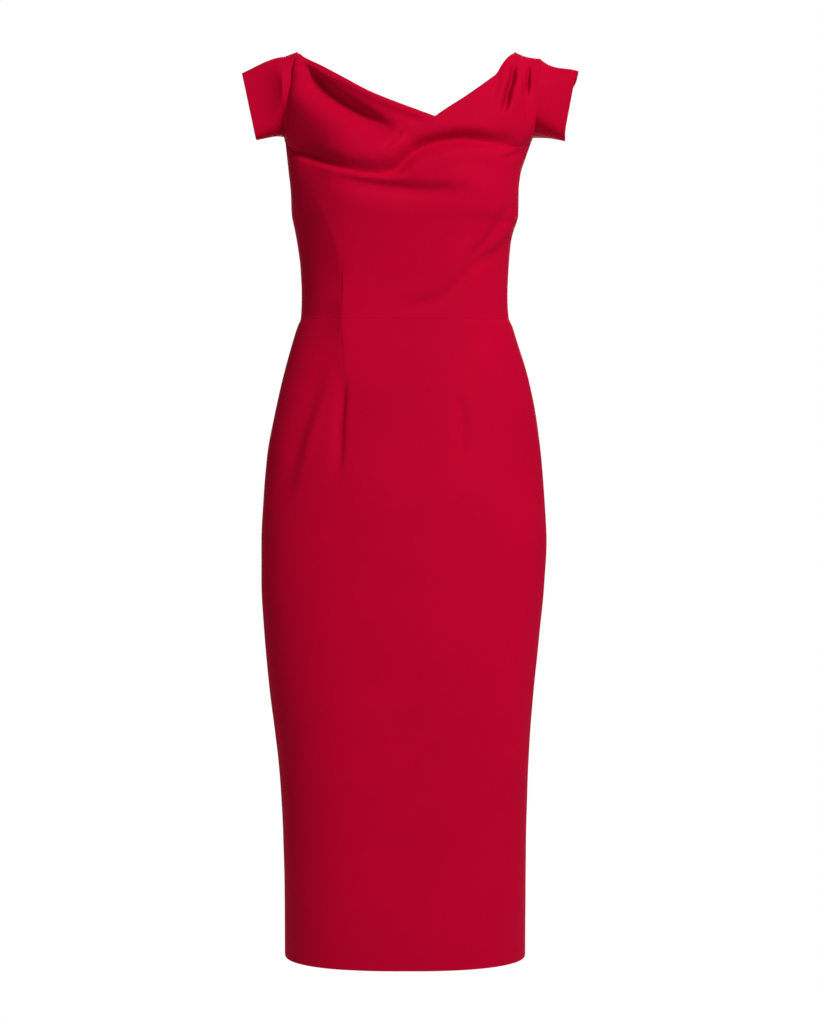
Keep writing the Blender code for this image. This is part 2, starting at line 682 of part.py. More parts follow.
def grid_normals(grid, ring, centres):
    """Unit normals that point away from the given inside points."""
    if ring:
        across = np.roll(grid, -1, axis=1) - np.roll(grid, 1, axis=1)
    else:
        across = np.gradient(grid, axis=1)
    normals = unit(np.cross(across, np.gradient(grid, axis=0)))
    out = ((grid - centres) * normals).sum(axis=-1).mean()
    return normals * np.sign(out)


def rim_places(grid, ring):
    """Which points of a grid lie on its edges."""
    rim = np.zeros(grid.shape[:2], bool)
    rim[[0, -1]] = True
    if not ring:
        rim[:, [0, -1]] = True
    return rim


def turn_rims_together(panels):
    """Where panels meet, their walls' rims get one direction, so that they part cleanly."""
    rims = [rim_places(panel.grid, panel.ring) for panel in panels]
    points = np.concatenate([panel.grid[rim] for panel, rim in zip(panels, rims)])
    normals = np.concatenate([panel.normals[rim] for panel, rim in zip(panels, rims)])
    for panel, rim in zip(panels, rims):
        gap = np.linalg.norm(panel.grid[rim][:, None] - points[None], axis=-1)
        weight = np.where(gap < RIM_REACH, 1 / (gap + RIM_NEAR) ** 2, 0.0)
        panel.normals[rim] = unit((weight[..., None] * normals[None]).sum(axis=1))


def pulled_in(grid, normals, ring):
    """The grid with each edge drawn back by half a seam gap, within the cloth."""
    result = grid.copy()
    sides = [(0, 0, 1), (0, -1, -2)] if ring else [(0, 0, 1), (0, -1, -2), (1, 0, 1), (1, -1, -2)]
    for axis, edge, inner in sides:
        line, beyond = np.take(grid, edge, axis), np.take(grid, inner, axis)
        run = np.roll(line, -1, 0) - np.roll(line, 1, 0) if ring else np.gradient(line, axis=0)
        inward = unit(np.cross(run, np.take(normals, edge, axis)))
        inward *= np.sign((inward * (beyond - line)).sum(axis=-1, keepdims=True))
        place = (edge, slice(None)) if axis == 0 else (slice(None), edge)
        result[place] += inward * SEAM_GAP / 2
    return result


def wall(panel, thickness, inset=0.0):
    """A closed solid: the grid, the same grid further in, and a rim round them."""
    grid = pulled_in(panel.grid, panel.normals, panel.ring)
    outer, inner = grid - panel.normals * inset, grid - panel.normals * (inset + thickness)
    rows, columns = grid.shape[:2]
    points = np.concatenate([outer.reshape(-1, 3), inner.reshape(-1, 3)]) * MM
    steps = columns if panel.ring else columns - 1
    faces = []
    for side in (0, rows * columns):
        for r in range(rows - 1):
            for c in range(steps):
                here, right = side + r * columns + c, side + r * columns + (c + 1) % columns
                faces.append((here, right, right + columns, here + columns))
    edges = []
    for first in (0, (rows - 1) * columns):
        edges += [(first + c, first + (c + 1) % columns) for c in range(steps)]
    if not panel.ring:
        for first in (0, columns - 1):
            edges += [(first + r * columns, first + (r + 1) * columns) for r in range(rows - 1)]
    for low, high in edges:
        faces += rim_faces(low, high, rows * columns, points)
    return mesh_object(panel.name, points, faces, panel.material)


def rim_faces(low, high, inward, points):
    """Two triangles of a rim. The split runs in from the higher point, the same way on both sides
    of a seam, so that a rim that twists stays clear of the rim beside it."""
    if points[low][2] > points[high][2]:
        low, high = high, low
    return [(high, low, low + inward), (high, low + inward, high + inward)]


def mesh_object(name, points, faces, material):
    """An object from points and faces, with its faces turned to point outwards."""
    mesh = bpy.data.meshes.new(name)
    mesh.from_pydata([tuple(p) for p in points], [], faces)
    shape = bmesh.new()
    shape.from_mesh(mesh)
    bmesh.ops.recalc_face_normals(shape, faces=shape.faces)
    shape.to_mesh(mesh)
    shape.free()
    mesh.materials.append(material)
    mesh.shade_smooth()
    mesh.set_sharp_from_angle(angle=SHARP_ANGLE)
    thing = bpy.data.objects.new(name, mesh)
    bpy.context.collection.objects.link(thing)
    return thing


# ---------------------------------------------------------------- zip


def half_ellipse(reach, half, steps, base):
    """Points of a half ellipse that stands on the line y = base."""
    turn = np.linspace(-math.pi / 2, math.pi / 2, steps + 1)
    return [(base + reach * math.cos(a), half * math.sin(a)) for a in turn]


def box(name, size, centre, material):
    half = np.array(size) / 2
    corners = [(x, y, z) for x in (-1, 1) for y in (-1, 1) for z in (-1, 1)]
    points = (np.array(corners) * half + centre) * MM
    faces = [(0, 1, 3, 2), (4, 5, 7, 6), (0, 1, 5, 4), (2, 3, 7, 6), (0, 2, 6, 4), (1, 3, 7, 5)]
    return mesh_object(name, points, faces, material)


def zip_slider(x, y, material):
    """The slider's plate on the closed zip, with the bail that the pull tab swings in."""
    across, out, down = SLIDER_SIZE
    middle = SLIDER_TOP - down / 2
    plate = box("zip_slider", SLIDER_SIZE, (x, y + out / 2, middle), material)
    half_x, reach, half_z = BAIL_SIZE[0] / 2, BAIL_SIZE[1], BAIL_SIZE[2] / 2
    root = out / 2
    outline = half_ellipse(reach + root, half_z, BAIL_STEPS, 0)
    hole = half_ellipse(reach + root - BAIL_WALL, half_z - BAIL_WALL, BAIL_STEPS, 0)
    outline = [(root + a, b) for a, b in outline]
    hole = [(root + a, b) for a, b in hole]
    bail = extruded("bail_guide", outline, hole, half_x, material)
    bail.location = np.array((x, y, middle)) * MM
    bail.hide_render = True
    bail.display_type = "WIRE"
    join = plate.modifiers.new("bail", "BOOLEAN")
    join.operation = "UNION"
    join.object = bail
    return plate


def extruded(name, outline, hole, half_width, material):
    """A plate with a hole, drawn in the Y-Z plane and spread along X."""
    count = len(outline)
    loops = [outline, hole]
    points = [(x, a, b) for x in (-half_width, half_width) for loop in loops for a, b in loop]
    faces = []
    for i in range(count):
        j = (i + 1) % count
        for side in (0, 2 * count):
            faces.append((side + i, side + j, side + count + j, side + count + i))
        for loop in (0, count):
            faces.append((loop + i, loop + j, loop + 2 * count + j, loop + 2 * count + i))
    return mesh_object(name, np.array(points) * MM, faces, material)


def zip_pull_tab(place, material):
    """The pull tab, hanging from its bar. Its origin is the bar's axis."""
    half_bar = TAB_THICK / 2
    window_half, window_end = TAB_WINDOW
    top_half, bottom_half = TAB_HALVES
    bottom = half_bar - TAB_LENGTH
    rows = [(half_bar, top_half), (-half_bar, top_half), (-window_end, top_half)]
    straight = bottom + bottom_half
    rows += [(straight, bottom_half)]
    for step in range(1, TAB_END_STEPS + 1):
        turn = math.pi / 2 * step / TAB_END_STEPS
        half = max(bottom_half * math.cos(turn), window_half / 2)
        rows.append((straight - bottom_half * math.sin(turn), half))
    shape = bmesh.new()
    lines = []
    for height, half in rows:
        inner = min(window_half, half / 2)
        spots = [(x, -half_bar, height) for x in (-half, -inner, inner, half)]
        lines.append([shape.verts.new(np.array(spot) * MM) for spot in spots])
    for r in range(len(rows) - 1):
        for c in range(3):
            if (r, c) != (1, 1):
                upper, lower = lines[r], lines[r + 1]
                shape.faces.new((upper[c], upper[c + 1], lower[c + 1], lower[c]))
    made = bmesh.ops.extrude_face_region(shape, geom=shape.faces[:])
    moved = [item for item in made["geom"] if isinstance(item, bmesh.types.BMVert)]
    bmesh.ops.translate(shape, verts=moved, vec=(0, TAB_THICK * MM, 0))
    bmesh.ops.recalc_face_normals(shape, faces=shape.faces)
    mesh = bpy.data.meshes.new("zip_pull_tab")
    shape.to_mesh(mesh)
    shape.free()
    mesh.materials.append(material)
    tab = bpy.data.objects.new("zip_pull_tab", mesh)
    tab.location = np.array(place) * MM
    bpy.context.collection.objects.link(tab)
    return tab


# ---------------------------------------------------------------- the dress


def material(name):
    look = LOOKS[name]
    made = bpy.data.materials.new(name)
    made.use_nodes = True
    shader = made.node_tree.nodes["Principled BSDF"]
    shader.inputs["Base Color"].default_value = (*look.colour, 1.0)
    shader.inputs["Roughness"].default_value = look.roughness
    shader.inputs["Sheen Weight"].default_value = look.sheen
    made.diffuse_color = (*look.colour, 1.0)
    return made


class Panel:
    """A piece of cloth as a grid of points, with its normals."""

    def __init__(self, name, grid, cloth, ring=False):
        self.name, self.grid, self.ring, self.material = name, grid, ring, cloth
        if ring:
            centres = grid.mean(axis=1, keepdims=True)
        else:
            centres = grid * (0, 0, 1)
        self.normals = grid_normals(grid, ring, centres)


def cloth_panels(cloth):
    """Every panel of the dress. The grids' rows go up, and the first column is at a side seam."""
    grids = {
        "bodice_front": folded(bodice_front()),
        "drape_left": folded(drape_left()),
        "drape_right": folded(drape_right()),
        "bodice_back_left": bodice_back(-1),
        "bodice_back_right": bodice_back(1),
        "skirt_front": folded(skirt(np.linspace(0, 0.5, SKIRT_FRONT_COLUMNS + 1))),
        "skirt_back_left": skirt(back_turns(-1, SKIRT_BACK_COLUMNS)),
        "skirt_back_right": skirt(back_turns(1, SKIRT_BACK_COLUMNS)),
    }
    panels = [Panel(name, grid, cloth) for name, grid in grids.items()]
    backs = slice(BACK_LOWER_ROWS, None)
    for side, word, edge in ((-1, "left", 0), (1, "right", -1)):
        front = grids[f"drape_{word}"][:, edge]
        back = grids[f"bodice_back_{word}"][backs, 0]
        panels.append(Panel(f"sleeve_{word}", sleeve(side, front, back), cloth, ring=True))
    turn_rims_together(panels)
    return panels


def zip_tape(word, panels, tape):
    """A tape on the inside of the back, from the points of the columns beside the zip."""
    skirt_panel, bodice = panels[f"skirt_back_{word}"], panels[f"bodice_back_{word}"]
    rows = skirt_panel.grid[:, -1, 2] > ZIP_END
    parts = [(skirt_panel.grid[rows][:-1], skirt_panel.normals[rows][:-1])]
    parts.append((bodice.grid[:-1], bodice.normals[:-1]))
    strip = Panel(f"zip_tape_{word}", np.concatenate([p[0][:, -2:] for p in parts]), tape)
    strip.normals = np.concatenate([p[1][:, -2:] for p in parts])
    return strip


def build():
    for old in list(bpy.data.objects):
        bpy.data.objects.remove(old, do_unlink=True)
    cloth, tape, metal = (material(name) for name in LOOKS)
    panels = cloth_panels(cloth)
    for panel in panels:
        wall(panel, CLOTH)
    named = {panel.name: panel for panel in panels}
    for word in ("left", "right"):
        wall(zip_tape(word, named, tape), TAPE, inset=CLOTH + SEAM_GAP)
    centre = named["bodice_back_left"].grid[:, -1]
    spots = np.linspace(SLIDER_TOP - SLIDER_SIZE[2], SLIDER_TOP, SLIDER_SPOTS)
    inner_face = np.interp(spots, centre[:, 2], centre[:, 1]).max() + SEAM_GAP
    middle = SLIDER_TOP - SLIDER_SIZE[2] / 2
    x = np.interp(middle, centre[:, 2], centre[:, 0])
    zip_slider(x, inner_face, metal)
    zip_pull_tab((x, inner_face + PIVOT_OUT, middle), metal)


build()
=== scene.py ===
"""The looks of an off-shoulder midi dress of red crepe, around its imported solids.

Tables and functions are in millimetres, in the frame of the solids: +Z is up, the front faces -Y
and +X is the viewer's right. Meshes, lights and the camera are in metres.

Each piece of cloth is a thin shell on the form of its solid: a fine grid on the outside of the
cloth, the same grid further in, and a rounded rim round them.
"""

import math
from collections import namedtuple

import bpy
import numpy as np
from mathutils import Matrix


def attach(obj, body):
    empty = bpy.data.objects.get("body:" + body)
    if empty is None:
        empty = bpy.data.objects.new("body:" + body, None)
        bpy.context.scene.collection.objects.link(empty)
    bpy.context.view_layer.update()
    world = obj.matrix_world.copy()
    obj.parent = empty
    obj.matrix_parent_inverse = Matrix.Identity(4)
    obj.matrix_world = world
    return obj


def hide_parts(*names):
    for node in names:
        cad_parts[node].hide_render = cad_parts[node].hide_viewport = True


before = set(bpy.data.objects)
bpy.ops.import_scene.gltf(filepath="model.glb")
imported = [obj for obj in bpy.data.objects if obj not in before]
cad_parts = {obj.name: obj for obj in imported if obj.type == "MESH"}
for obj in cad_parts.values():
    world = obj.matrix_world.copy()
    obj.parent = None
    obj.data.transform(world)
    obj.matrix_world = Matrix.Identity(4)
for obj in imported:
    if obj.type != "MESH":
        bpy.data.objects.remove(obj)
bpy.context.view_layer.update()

MM = 0.001
CLOTH = 1.4  # thickness of the crepe with its self lining
HEM_TURN = 32.0  # depth of the turned-up hem, inside
CUFF_HEM_TURN = 16.0
HEM_EXTRA = 0.8  # how much further in the turned-up layer lies
HEM_FADE = 2.0  # along the cloth, how soon it does
SEAM_ROUND = 0.16  # radius of the cloth's edge where two pieces are sewn together
WAIST_ROUND = 0.3
FREE_ROUND = 0.7  # radius of a folded edge
FLUSH_ROUND = 0.08  # radius where two pieces lie over each other without a line
BUST_SEAM_ROUND = 0.5  # at the left underarm, where the front stands a little proud of the drape
BUST_SEAM_FADE = 0.52  # share of the front's girth by which that has gone
PROUD = 0.9  # how far out the front's top edge stands there
PROUD_REACH = 2.2  # how far below the seam that reaches

# ---- driving sizes of the form

WAIST = -310.0  # height of the waist seam at the sides
WAIST_DIP = 4.0  # how much lower the waist seam is at the centre front, and higher behind
HEM = -1043.0
UNDERARM = -96.0
NECK_HALF = 125.0  # from the centre to where the neckline meets the shoulder seam
V_POINT = (32.4, -90.7)  # x and height of the point of the V neckline
CROSSING = 0.462  # share of the front's girth, from the left, where the two drapes part
ARM_DEPTH = 54.0  # how far the armhole reaches ahead of and behind the side seam
LEFT_ARM_EXTRA = 8.0  # how much further ahead the left one reaches
ARM_SQUARE = 46.0  # how much further it reaches low down, which makes it squarer there
CUFF_DEPTH = 50.0
CUFF_SQUARE = 6.0  # 2 is an ellipse, more is squarer
BACK_NECK = -100.0  # height of the back neckline at the centre
BACK_YOKE = -150.0  # at the centre, below this height the back follows the body's sections

# Sections of the body that the dress is cut for. left, right: half widths from the centre line.
# front, back: depths from the side seams. square: 2 is an ellipse, more is squarer.
# height, left, right, front, back, square
STATIONS = [
    (-1060, 139.8, 137.8, 115, 108, 2.05),
    (-1043, 140, 138, 115, 108, 2.05),
    (-980, 140.3, 138.2, 113.5, 108, 2.1),
    (-890, 142.6, 139.2, 112, 109, 2.15),
    (-820, 147.3, 141.5, 112, 111, 2.2),
    (-750, 156.2, 146.4, 113, 115, 2.2),
    (-680, 163, 153.4, 114, 120, 2.2),
    (-611, 167.2, 160.2, 112, 126, 2.2),
    (-565, 167.2, 162.4, 110, 128, 2.2),
    (-518, 164.9, 160.3, 107, 126, 2.2),
    (-472, 161.3, 156.8, 103, 120, 2.2),
    (-426, 153.3, 151, 99, 111, 2.2),
    (-379, 142.8, 141.7, 94, 100, 2.2),
    (-333, 130.3, 127.8, 89.5, 88.5, 2.2),
    (-318, 125.5, 123.2, 88.5, 86.5, 2.2),
    (-308, 121.8, 119, 88, 85, 2.2),
    (-281, 120.8, 117.4, 89, 83, 2.2),
    (-253, 121.9, 118.4, 93, 82, 2.2),
    (-225, 125.4, 120.8, 98.5, 82, 2.25),
    (-206, 128.8, 124.2, 103, 82.5, 2.25),
    (-190, 132, 129.8, 107, 83, 2.3),
    (-160, 133.6, 130.2, 112.5, 84, 2.2),
    (-141, 135.8, 132.4, 112, 84.5, 2.1),
    (-120, 138, 139, 109, 84.5, 2),
    (-107, 139.4, 143.6, 106, 84, 2),
    (-96, 140.4, 147.2, 103, 83, 2),
    (-60, 141, 148, 94, 80, 2),
]

FRONT_SQUARE = 0.4  # how much squarer the front is than the back
NECK_SQUARE = 2.2  # the same measure for the neckline, seen from above

# The fullness that the bust darts give, on each side of the centre front.
CUP_FULLNESS = 6.0
CUP_AT = (66.0, -152.0)
CUP_SPREAD = (36.0, 40.0)

# The seam under the drapes, from the left underarm across the bust to the right underarm.
# Shares of the front's girth from the left, and heights.
BUST_SEAM = [
    (0.000, UNDERARM),
    (0.064, -111.0),
    (0.180, -126.0),
    (0.313, -142.0),
    (0.446, -153.0),
    (0.488, -155.0),
    (0.540, -145.0),
    (0.610, -125.5),
    (0.700, -117.5),
    (0.820, -117.5),
    (0.945, -108.0),
    (1.000, UNDERARM),
]

# The shoulder seams, from the arm to the neck, and the neckline from there to the V, as seen from
# the front: x and height of each point.
LEFT_SHOULDER = [(-141, -6), (-NECK_HALF, 0)]
LEFT_NECK = [
    (-NECK_HALF, 0),
    (-124.9, -1.2),
    (-124.3, -3),
    (-122, -5.6),
    (-116.6, -12),
    (-106.8, -19.7),
    (-96.1, -26.8),
    (-69.5, -44.2),
    (-40.1, -62),
    (-6.6, -76.5),
    V_POINT,
]
RIGHT_SHOULDER = [
    (155, -8),
    (144, -6.6),
    (134.5, -4.2),
    (NECK_HALF, 0),
]
RIGHT_NECK = [
    (NECK_HALF, 0),
    (124.9, -1.2),
    (124.3, -3),
    (122.3, -5.4),
    (116, -12.8),
    (108, -24.6),
    (102.6, -35),
    (91.4, -45.7),
    (65, -67.2),
    (43.6, -82.3),
    V_POINT,
]
NECK_DEPTH = 112.0  # depth of the neckline at the centre front, at the height of the V
NECK_LEAN = 0.12  # how much the chest goes back for each millimetre up
BACK_NECK_DEPTH = 84.0
BACK_NECK_POWER = 2.6  # 2 is a parabola, more is flatter at the centre
SHOULDER_ROUND = 0.8  # how much fuller the cloth goes over the shoulder
CHEST_LEAN = math.radians(6)  # how far the chest leans back at the neckline
BACK_LEAN = math.radians(10)  # how far the back leans forward at its neckline
ARCH_FADE = 4  # how fast a panel leaves the arch of its armhole, away from it
ARCH_PEAK = 4  # makes the arch's curve, share * (1 - share), reach 1
LEAN_POWER = 1.5  # how late, from the chest to the shoulder, the lean turns to level
# The shoulder seam's share of a panel's top edge, on the left and on the right.
SHOULDER_SHARE = {-1: 1 / 13, 1: 4 / 21}
BACK_SHOULDER_SHARE = {-1: 2 / 12, 1: 3 / 12}

# The cuffs, seen from the front. Each turns in a little at the front. bow: how far its middle is
# drawn in. crown: how much higher the sleeve's top lies than a straight line, minus is lower.
Cuff = namedtuple("Cuff", "bottom_x bottom_height top_x top_height bow crown")
CUFFS = {
    -1: Cuff(-172.6, -109.0, -189.6, -28.4, 0.3, 1.5),
    1: Cuff(183.0, -111.0, 199.0, -26.8, 3.0, -4.4),
}
CUFF_TURN = 0.03
CUFF_BACK = {-1: 3.0, 1: -2.0}  # how far the cuffs lie behind the armholes
CUFF_TILT = 0.18  # how much the underside of a sleeve rises towards the back
SLEEVE_FLAT = {-1: 3.0, 1: 1.4}  # how soon a sleeve gets its cuff's flat form
SLEEVE_DROP = 6.0  # how far below the underarm that form starts
ARMHOLE_BACK = 3.0  # how far behind the side seam its middle is there
CROWN_PEAK = 27 / 4  # makes the crown's curve, share * (1 - share)^2, reach 1
SLEEVE_EASE = 1.5  # how much closer a sleeve's rows are at the armhole

# ---- folds of the cloth

# Soft troughs and ridges. depth: out of the cloth, minus is inwards. left, right: how far the fold
# reaches to each side, as one walks along its line. power: 2 is soft, 1 is a sharp crease.
# line: x, height and the share of the depth that the fold has there.
# straight: whether it goes straight back, not out from the body.
Fold = namedtuple("Fold", "name depth left right line power straight", defaults=(2, False))
FRONT_FOLDS = [
    Fold("roll along the left neckline", 3, 5, 5,
         [(-118, -17, 0.3), (-96, -34, 1), (-68, -50, 1), (-39, -67, 1), (-5, -82, 1),
          (15, -89, 0.8), (29, -93, 0.3)]),
    Fold("furrow under the left neckline", -16, 8, 17,
         [(-122, -26, 0), (-113, -36, 0.6), (-100, -51, 1), (-83, -65, 1), (-64, -78, 1),
          (-45, -90, 0.85), (-26, -101, 0.5), (-10, -109, 0)]),
    Fold("hollow inside the left arm", -14, 24, 24,
         [(-152, -72, 0.3), (-143, -86, 0.9), (-132, -101, 1), (-120, -114, 1),
          (-108, -126, 0.8), (-94, -138, 0.3), (-82, -146, 0)], straight=True),
    Fold("left drape drawn in to the bust seam", -9, 10, 4,
         [(-134, -116, 0.2), (-119, -126, 0.7), (-103, -134, 0.9), (-83, -143, 1),
          (-57, -151, 1), (-31, -154, 1), (-12, -152, 0.8), (2, -145, 0.3), (10, -140, 0)]),
    Fold("pouch of the left drape over the seam", 8, 17, 26,
         [(-98, -118, 0), (-80, -124, 0.4), (-62, -128, 0.9), (-42, -130, 1),
          (-22, -130, 1), (-8, -126, 0.6), (6, -118, 0)]),
    Fold("trough across the bust", -15, 9, 7.5,
         [(-28, -155, 0), (-12, -148, 0.5), (2, -136, 0.8), (16, -126, 0.8), (34, -120, 0.9),
          (54, -116, 1), (74, -114, 1), (94, -115, 0.8), (115, -115, 0.4), (127, -117, 0)]),
    Fold("lip under the trough", 2.5, 7, 12,
         [(6, -154, 0.3), (20, -146, 1), (38, -137, 1), (54, -130, 1), (76, -128, 1),
          (98, -128, 0.8), (116, -128, 0.2)]),
    Fold("second trough, below the bust seam", -7, 7, 12,
         [(-82, -158, 0), (-68, -162, 0.5), (-52, -165, 0.9), (-35, -168, 1), (-7, -171, 1),
          (27, -173, 0.9), (49, -173, 0.6), (69, -172, 0.2), (82, -170, 0)]),
    Fold("pleat from the right shoulder, at the neck", -16, 3.5, 3.5,
         [(125, -21, 0.3), (121.5, -30, 0.8), (120.4, -41, 1), (116.5, -53, 1), (113.5, -67, 0.9),
          (111, -78, 0.4), (110, -85, 0)], straight=True),
    Fold("pleat from the right shoulder, at the arm", -10, 2.3, 2.3,
         [(139.7, -21, 0), (139.7, -28, 0.6), (139, -37, 1), (138.4, -47, 1), (137.5, -55, 0.5),
          (137, -63, 0)], straight=True),
    Fold("drape from the right side to the waist", -3.5, 8, 8,
         [(115, -224, 0.4), (111, -230, 0.7), (75, -257, 1), (43, -290, 1), (15, -299, 0.9),
          (-10, -307, 0)]),
    Fold("hollow under the left waist dart", -5, 4.5, 7,
         [(-67, -376, 0), (-69.4, -390, 0.5), (-71.7, -407, 0.9), (-73, -424, 1), (-74, -441, 1),
          (-74, -457, 0.9), (-75, -474, 0.6), (-77, -494, 0.2), (-79, -508, 0)]),
    Fold("hollow over the left hip", -4, 11, 14,
         [(-86, -348, 0), (-98, -394, 0.8), (-115, -433, 1), (-133, -497, 0.7),
          (-147, -532, 0)]),
    # Finer ones, which the solids leave out.
    Fold("crease where the drapes cross", -3, 4, 2.2,
         [(-26, -131, 0), (-19, -124, 0.9), (-8, -113, 1), (-2, -107, 0)]),
    Fold("dip beside the point of the V", -1.5, 5, 5,
         [(4, -102, 0), (12, -94, 1), (19, -87, 0.8), (25, -82, 0)]),
    Fold("crease under the right arm", -2.5, 3, 3,
         [(108, -136, 0), (116, -131, 1), (126, -125, 0.5), (135, -119, 0)]),
    Fold("ridge between the shoulder pleats", 2, 4, 4,
         [(131, -19, 0.5), (130, -39, 1), (127, -60, 0.8), (124, -80, 0)]),
    Fold("ridge beside the neck pleat", 1.5, 5, 4,
         [(113, -25, 0.5), (110, -43, 1), (105, -60, 0.8), (98, -78, 0)]),
    Fold("ridge of the side drape", 3, 5, 5,
         [(122, -199, 0.7), (115, -210, 1), (105, -225, 0.6), (92, -238, 0)]),
    Fold("upper side drape", -2.5, 5, 5,
         [(117, -186, 0.5), (114, -190, 0.8), (97, -218, 1), (81, -237, 1), (64, -253, 0)]),
    Fold("turn of the left side of the bodice", 4, 15, 32,
         [(-69, -322, 1), (-69, -284, 1), (-71.6, -253, 1), (-78, -228, 0.8), (-87.5, -205, 0.6),
          (-99, -181, 0.4), (-110, -160, 0)], power=1.2),
    Fold("turn of the left side of the skirt", 3.5, 15, 30,
         [(-72, -410, 0), (-70, -385, 0.5), (-69, -350, 0.9), (-69, -318, 1), (-69, -300, 1)],
         power=1.2),
    Fold("ridge over the left hip", 2.5, 7, 9,
         [(-79, -357, 0), (-91, -389, 0.8), (-106, -444, 1), (-116, -480, 0.7),
          (-123, -509, 0)]),
    Fold("hollow under the right waist dart", -3.2, 7, 6,
         [(58, -402, 0), (60, -410, 0.6), (64, -434, 1), (63, -450, 1), (59, -478, 0)]),
]
BACK_FOLDS = [
    Fold("pull above the waist, left", -1.6, 7, 9,
         [(-112, -268, 0), (-84, -276, 0.8), (-52, -284, 1), (-20, -287, 0.4), (-8, -288, 0)]),
    Fold("pull above the waist, right", -1.8, 7, 8,
         [(10, -281, 0), (30, -284, 0.6), (64, -277, 1), (92, -264, 0.7), (112, -252, 0)]),
    Fold("shallow pull higher up", -1.2, 8, 8,
         [(-96, -222, 0), (-70, -236, 0.9), (-36, -246, 1), (-12, -250, 0)]),
    Fold("pull from the left underarm", -2.2, 6, 8,
         [(-128, -112, 0.3), (-112, -128, 1), (-90, -143, 0.8), (-66, -152, 0)]),
    Fold("pull from the right underarm", -2.4, 6, 8,
         [(132, -110, 0.3), (115, -125, 1), (96, -138, 0.7), (74, -146, 0)]),
    Fold("hollow beside the left hip", -1.4, 12, 12,
         [(88, -352, 0), (103, -400, 0.8), (120, -452, 1), (134, -510, 0.4), (140, -540, 0)]),
    Fold("hollow beside the right hip", -1.5, 12, 12,
         [(-84, -348, 0), (-99, -398, 0.9), (-118, -450, 1), (-136, -520, 0.4),
          (-144, -548, 0)]),
    Fold("drag under the seat, left", -1.6, 10, 14,
         [(-96, -648, 0), (-62, -662, 0.9), (-28, -668, 1), (-6, -664, 0.4)]),
    Fold("drag under the seat, right", -1.4, 10, 14,
         [(6, -672, 0.4), (34, -678, 1), (66, -668, 0.8), (98, -650, 0)]),
]
FOLD_STEPS = 24  # straight steps along a fold's line
EDGE_SAMPLES = 600  # along the neckline, closer together near the shoulder
FOLD_FADE = 0.3  # folds fade where the cloth turns this near to facing sideways
BODY_HALF, BODY_DEPTH = 140.0, 100.0  # the ellipse whose level normals the folds follow

# Waist darts, each straight down the cloth. x: where it is, as seen from the front or the back.
Dart = namedtuple("Dart", "x top bottom depth reach")
BODICE_DARTS = [Dart(-69.0, -215.0, -313.0, 0.15, 1.6), Dart(63.0, -225.0, -313.0, 0.2, 1.6)]
SKIRT_DARTS = [Dart(-69.0, -306.0, -404.0, 0.5, 1.6), Dart(63.0, -306.0, -404.0, 0.2, 1.6)]
BACK_DART_AT = {-1: -66.0, 1: 63.0}
BACK_DARTS = {side: [Dart(x, -300.0, -440.0, 0.5, 1.7)] for side, x in BACK_DART_AT.items()}
BACK_BODICE_DARTS = {side: [Dart(x, -185.0, -309.0, 0.5, 1.7)] for side, x in BACK_DART_AT.items()}
DART_REACH = 0.08  # of a turn: this near a dart a panel's columns bend to it
DART_LEVEL = -310.0  # columns are counted at this height
DART_COLUMNS = (-1.8, -0.9, 0.0, 0.9, 1.8)  # columns beside each dart, in millimetres

# Slow swells of cloth that nothing holds flat: how high, and how long.
SWELL = 0.35
SWELL_LENGTHS = (150.0, 95.0, 61.0, 43.0)
SWELL_SEED = 5

# How finely the shells are divided. Rows: how many steps, and how much closer at both ends.
LEFT_COLUMNS, RIGHT_COLUMNS, BACK_COLUMNS = 104, 136, 84
FRONT_ROWS, BACK_ROWS, LOWER_ROWS, BACK_LOWER_ROWS = (84, 0.5), (64, 0.5), (96, 0.4), (72, 0.0)
SKIRT_FRONT_COLUMNS, SKIRT_BACK_COLUMNS, SKIRT_ROWS = 150, 66, (236, 0.15)
SLEEVE_ROWS = 34
EDGE_STEPS = (0.3, 0.65)  # extra lines beside each edge, as shares of a step
SHARE_REACH, SHARE_SOFT = 3.0, 0.5  # edges this near each other turn the same way
BACK_EDGE_SAMPLES = 400  # along the back neckline
TURN_STEP = 0.002  # to each side, for a direction round the body
RIM_CUT = 0.3  # share of the rim's radius at which it is cut off on the slant
RIM_LEAST = 1.02  # radii from one side of the cloth to the start of the other's rounding

# ---- curves


def hermite(start, leave, end, arrive, t):
    """The cubic from start to end that leaves and arrives with the given directions."""
    return (
        (2 * t**3 - 3 * t**2 + 1) * start
        + (t**3 - 2 * t**2 + t) * leave
        + (3 * t**2 - 2 * t**3) * end
        + (t**3 - t**2) * arrive
    )


def smooth_curve(rows):
    """A function through (place, value, ...) rows that stays between neighbouring values."""
    table = np.array(sorted(tuple(map(float, row)) for row in rows))
    at, values = table[:, 0], table[:, 1:]
    step = np.diff(at)[:, None]
    rise = np.diff(values, axis=0) / step
    slope = np.zeros_like(values)
    slope[0], slope[-1] = rise[0], rise[-1]
    before, after = 2 * step[1:] + step[:-1], step[1:] + 2 * step[:-1]
    same_way = rise[:-1] * rise[1:] > 0
    first, second = np.where(same_way, rise[:-1], 1.0), np.where(same_way, rise[1:], 1.0)
    mean = (before + after) / (before / first + after / second)
    slope[1:-1] = np.where(same_way, mean, 0.0)

    def value(place):
        place = np.clip(np.asarray(place, float), at[0], at[-1])
        i = np.clip(np.searchsorted(at, place) - 1, 0, len(at) - 2)
        width = (at[i + 1] - at[i])[..., None]
        t = (place - at[i])[..., None] / width
        return hermite(values[i], slope[i] * width, values[i + 1], slope[i + 1] * width, t)

    return value


def lengths_along(points):
    """How far each point, or row of points, is from the first one."""
    steps = np.linalg.norm(np.diff(points, axis=0), axis=-1)
    return np.concatenate([0 * steps[:1], np.cumsum(steps, axis=0)])


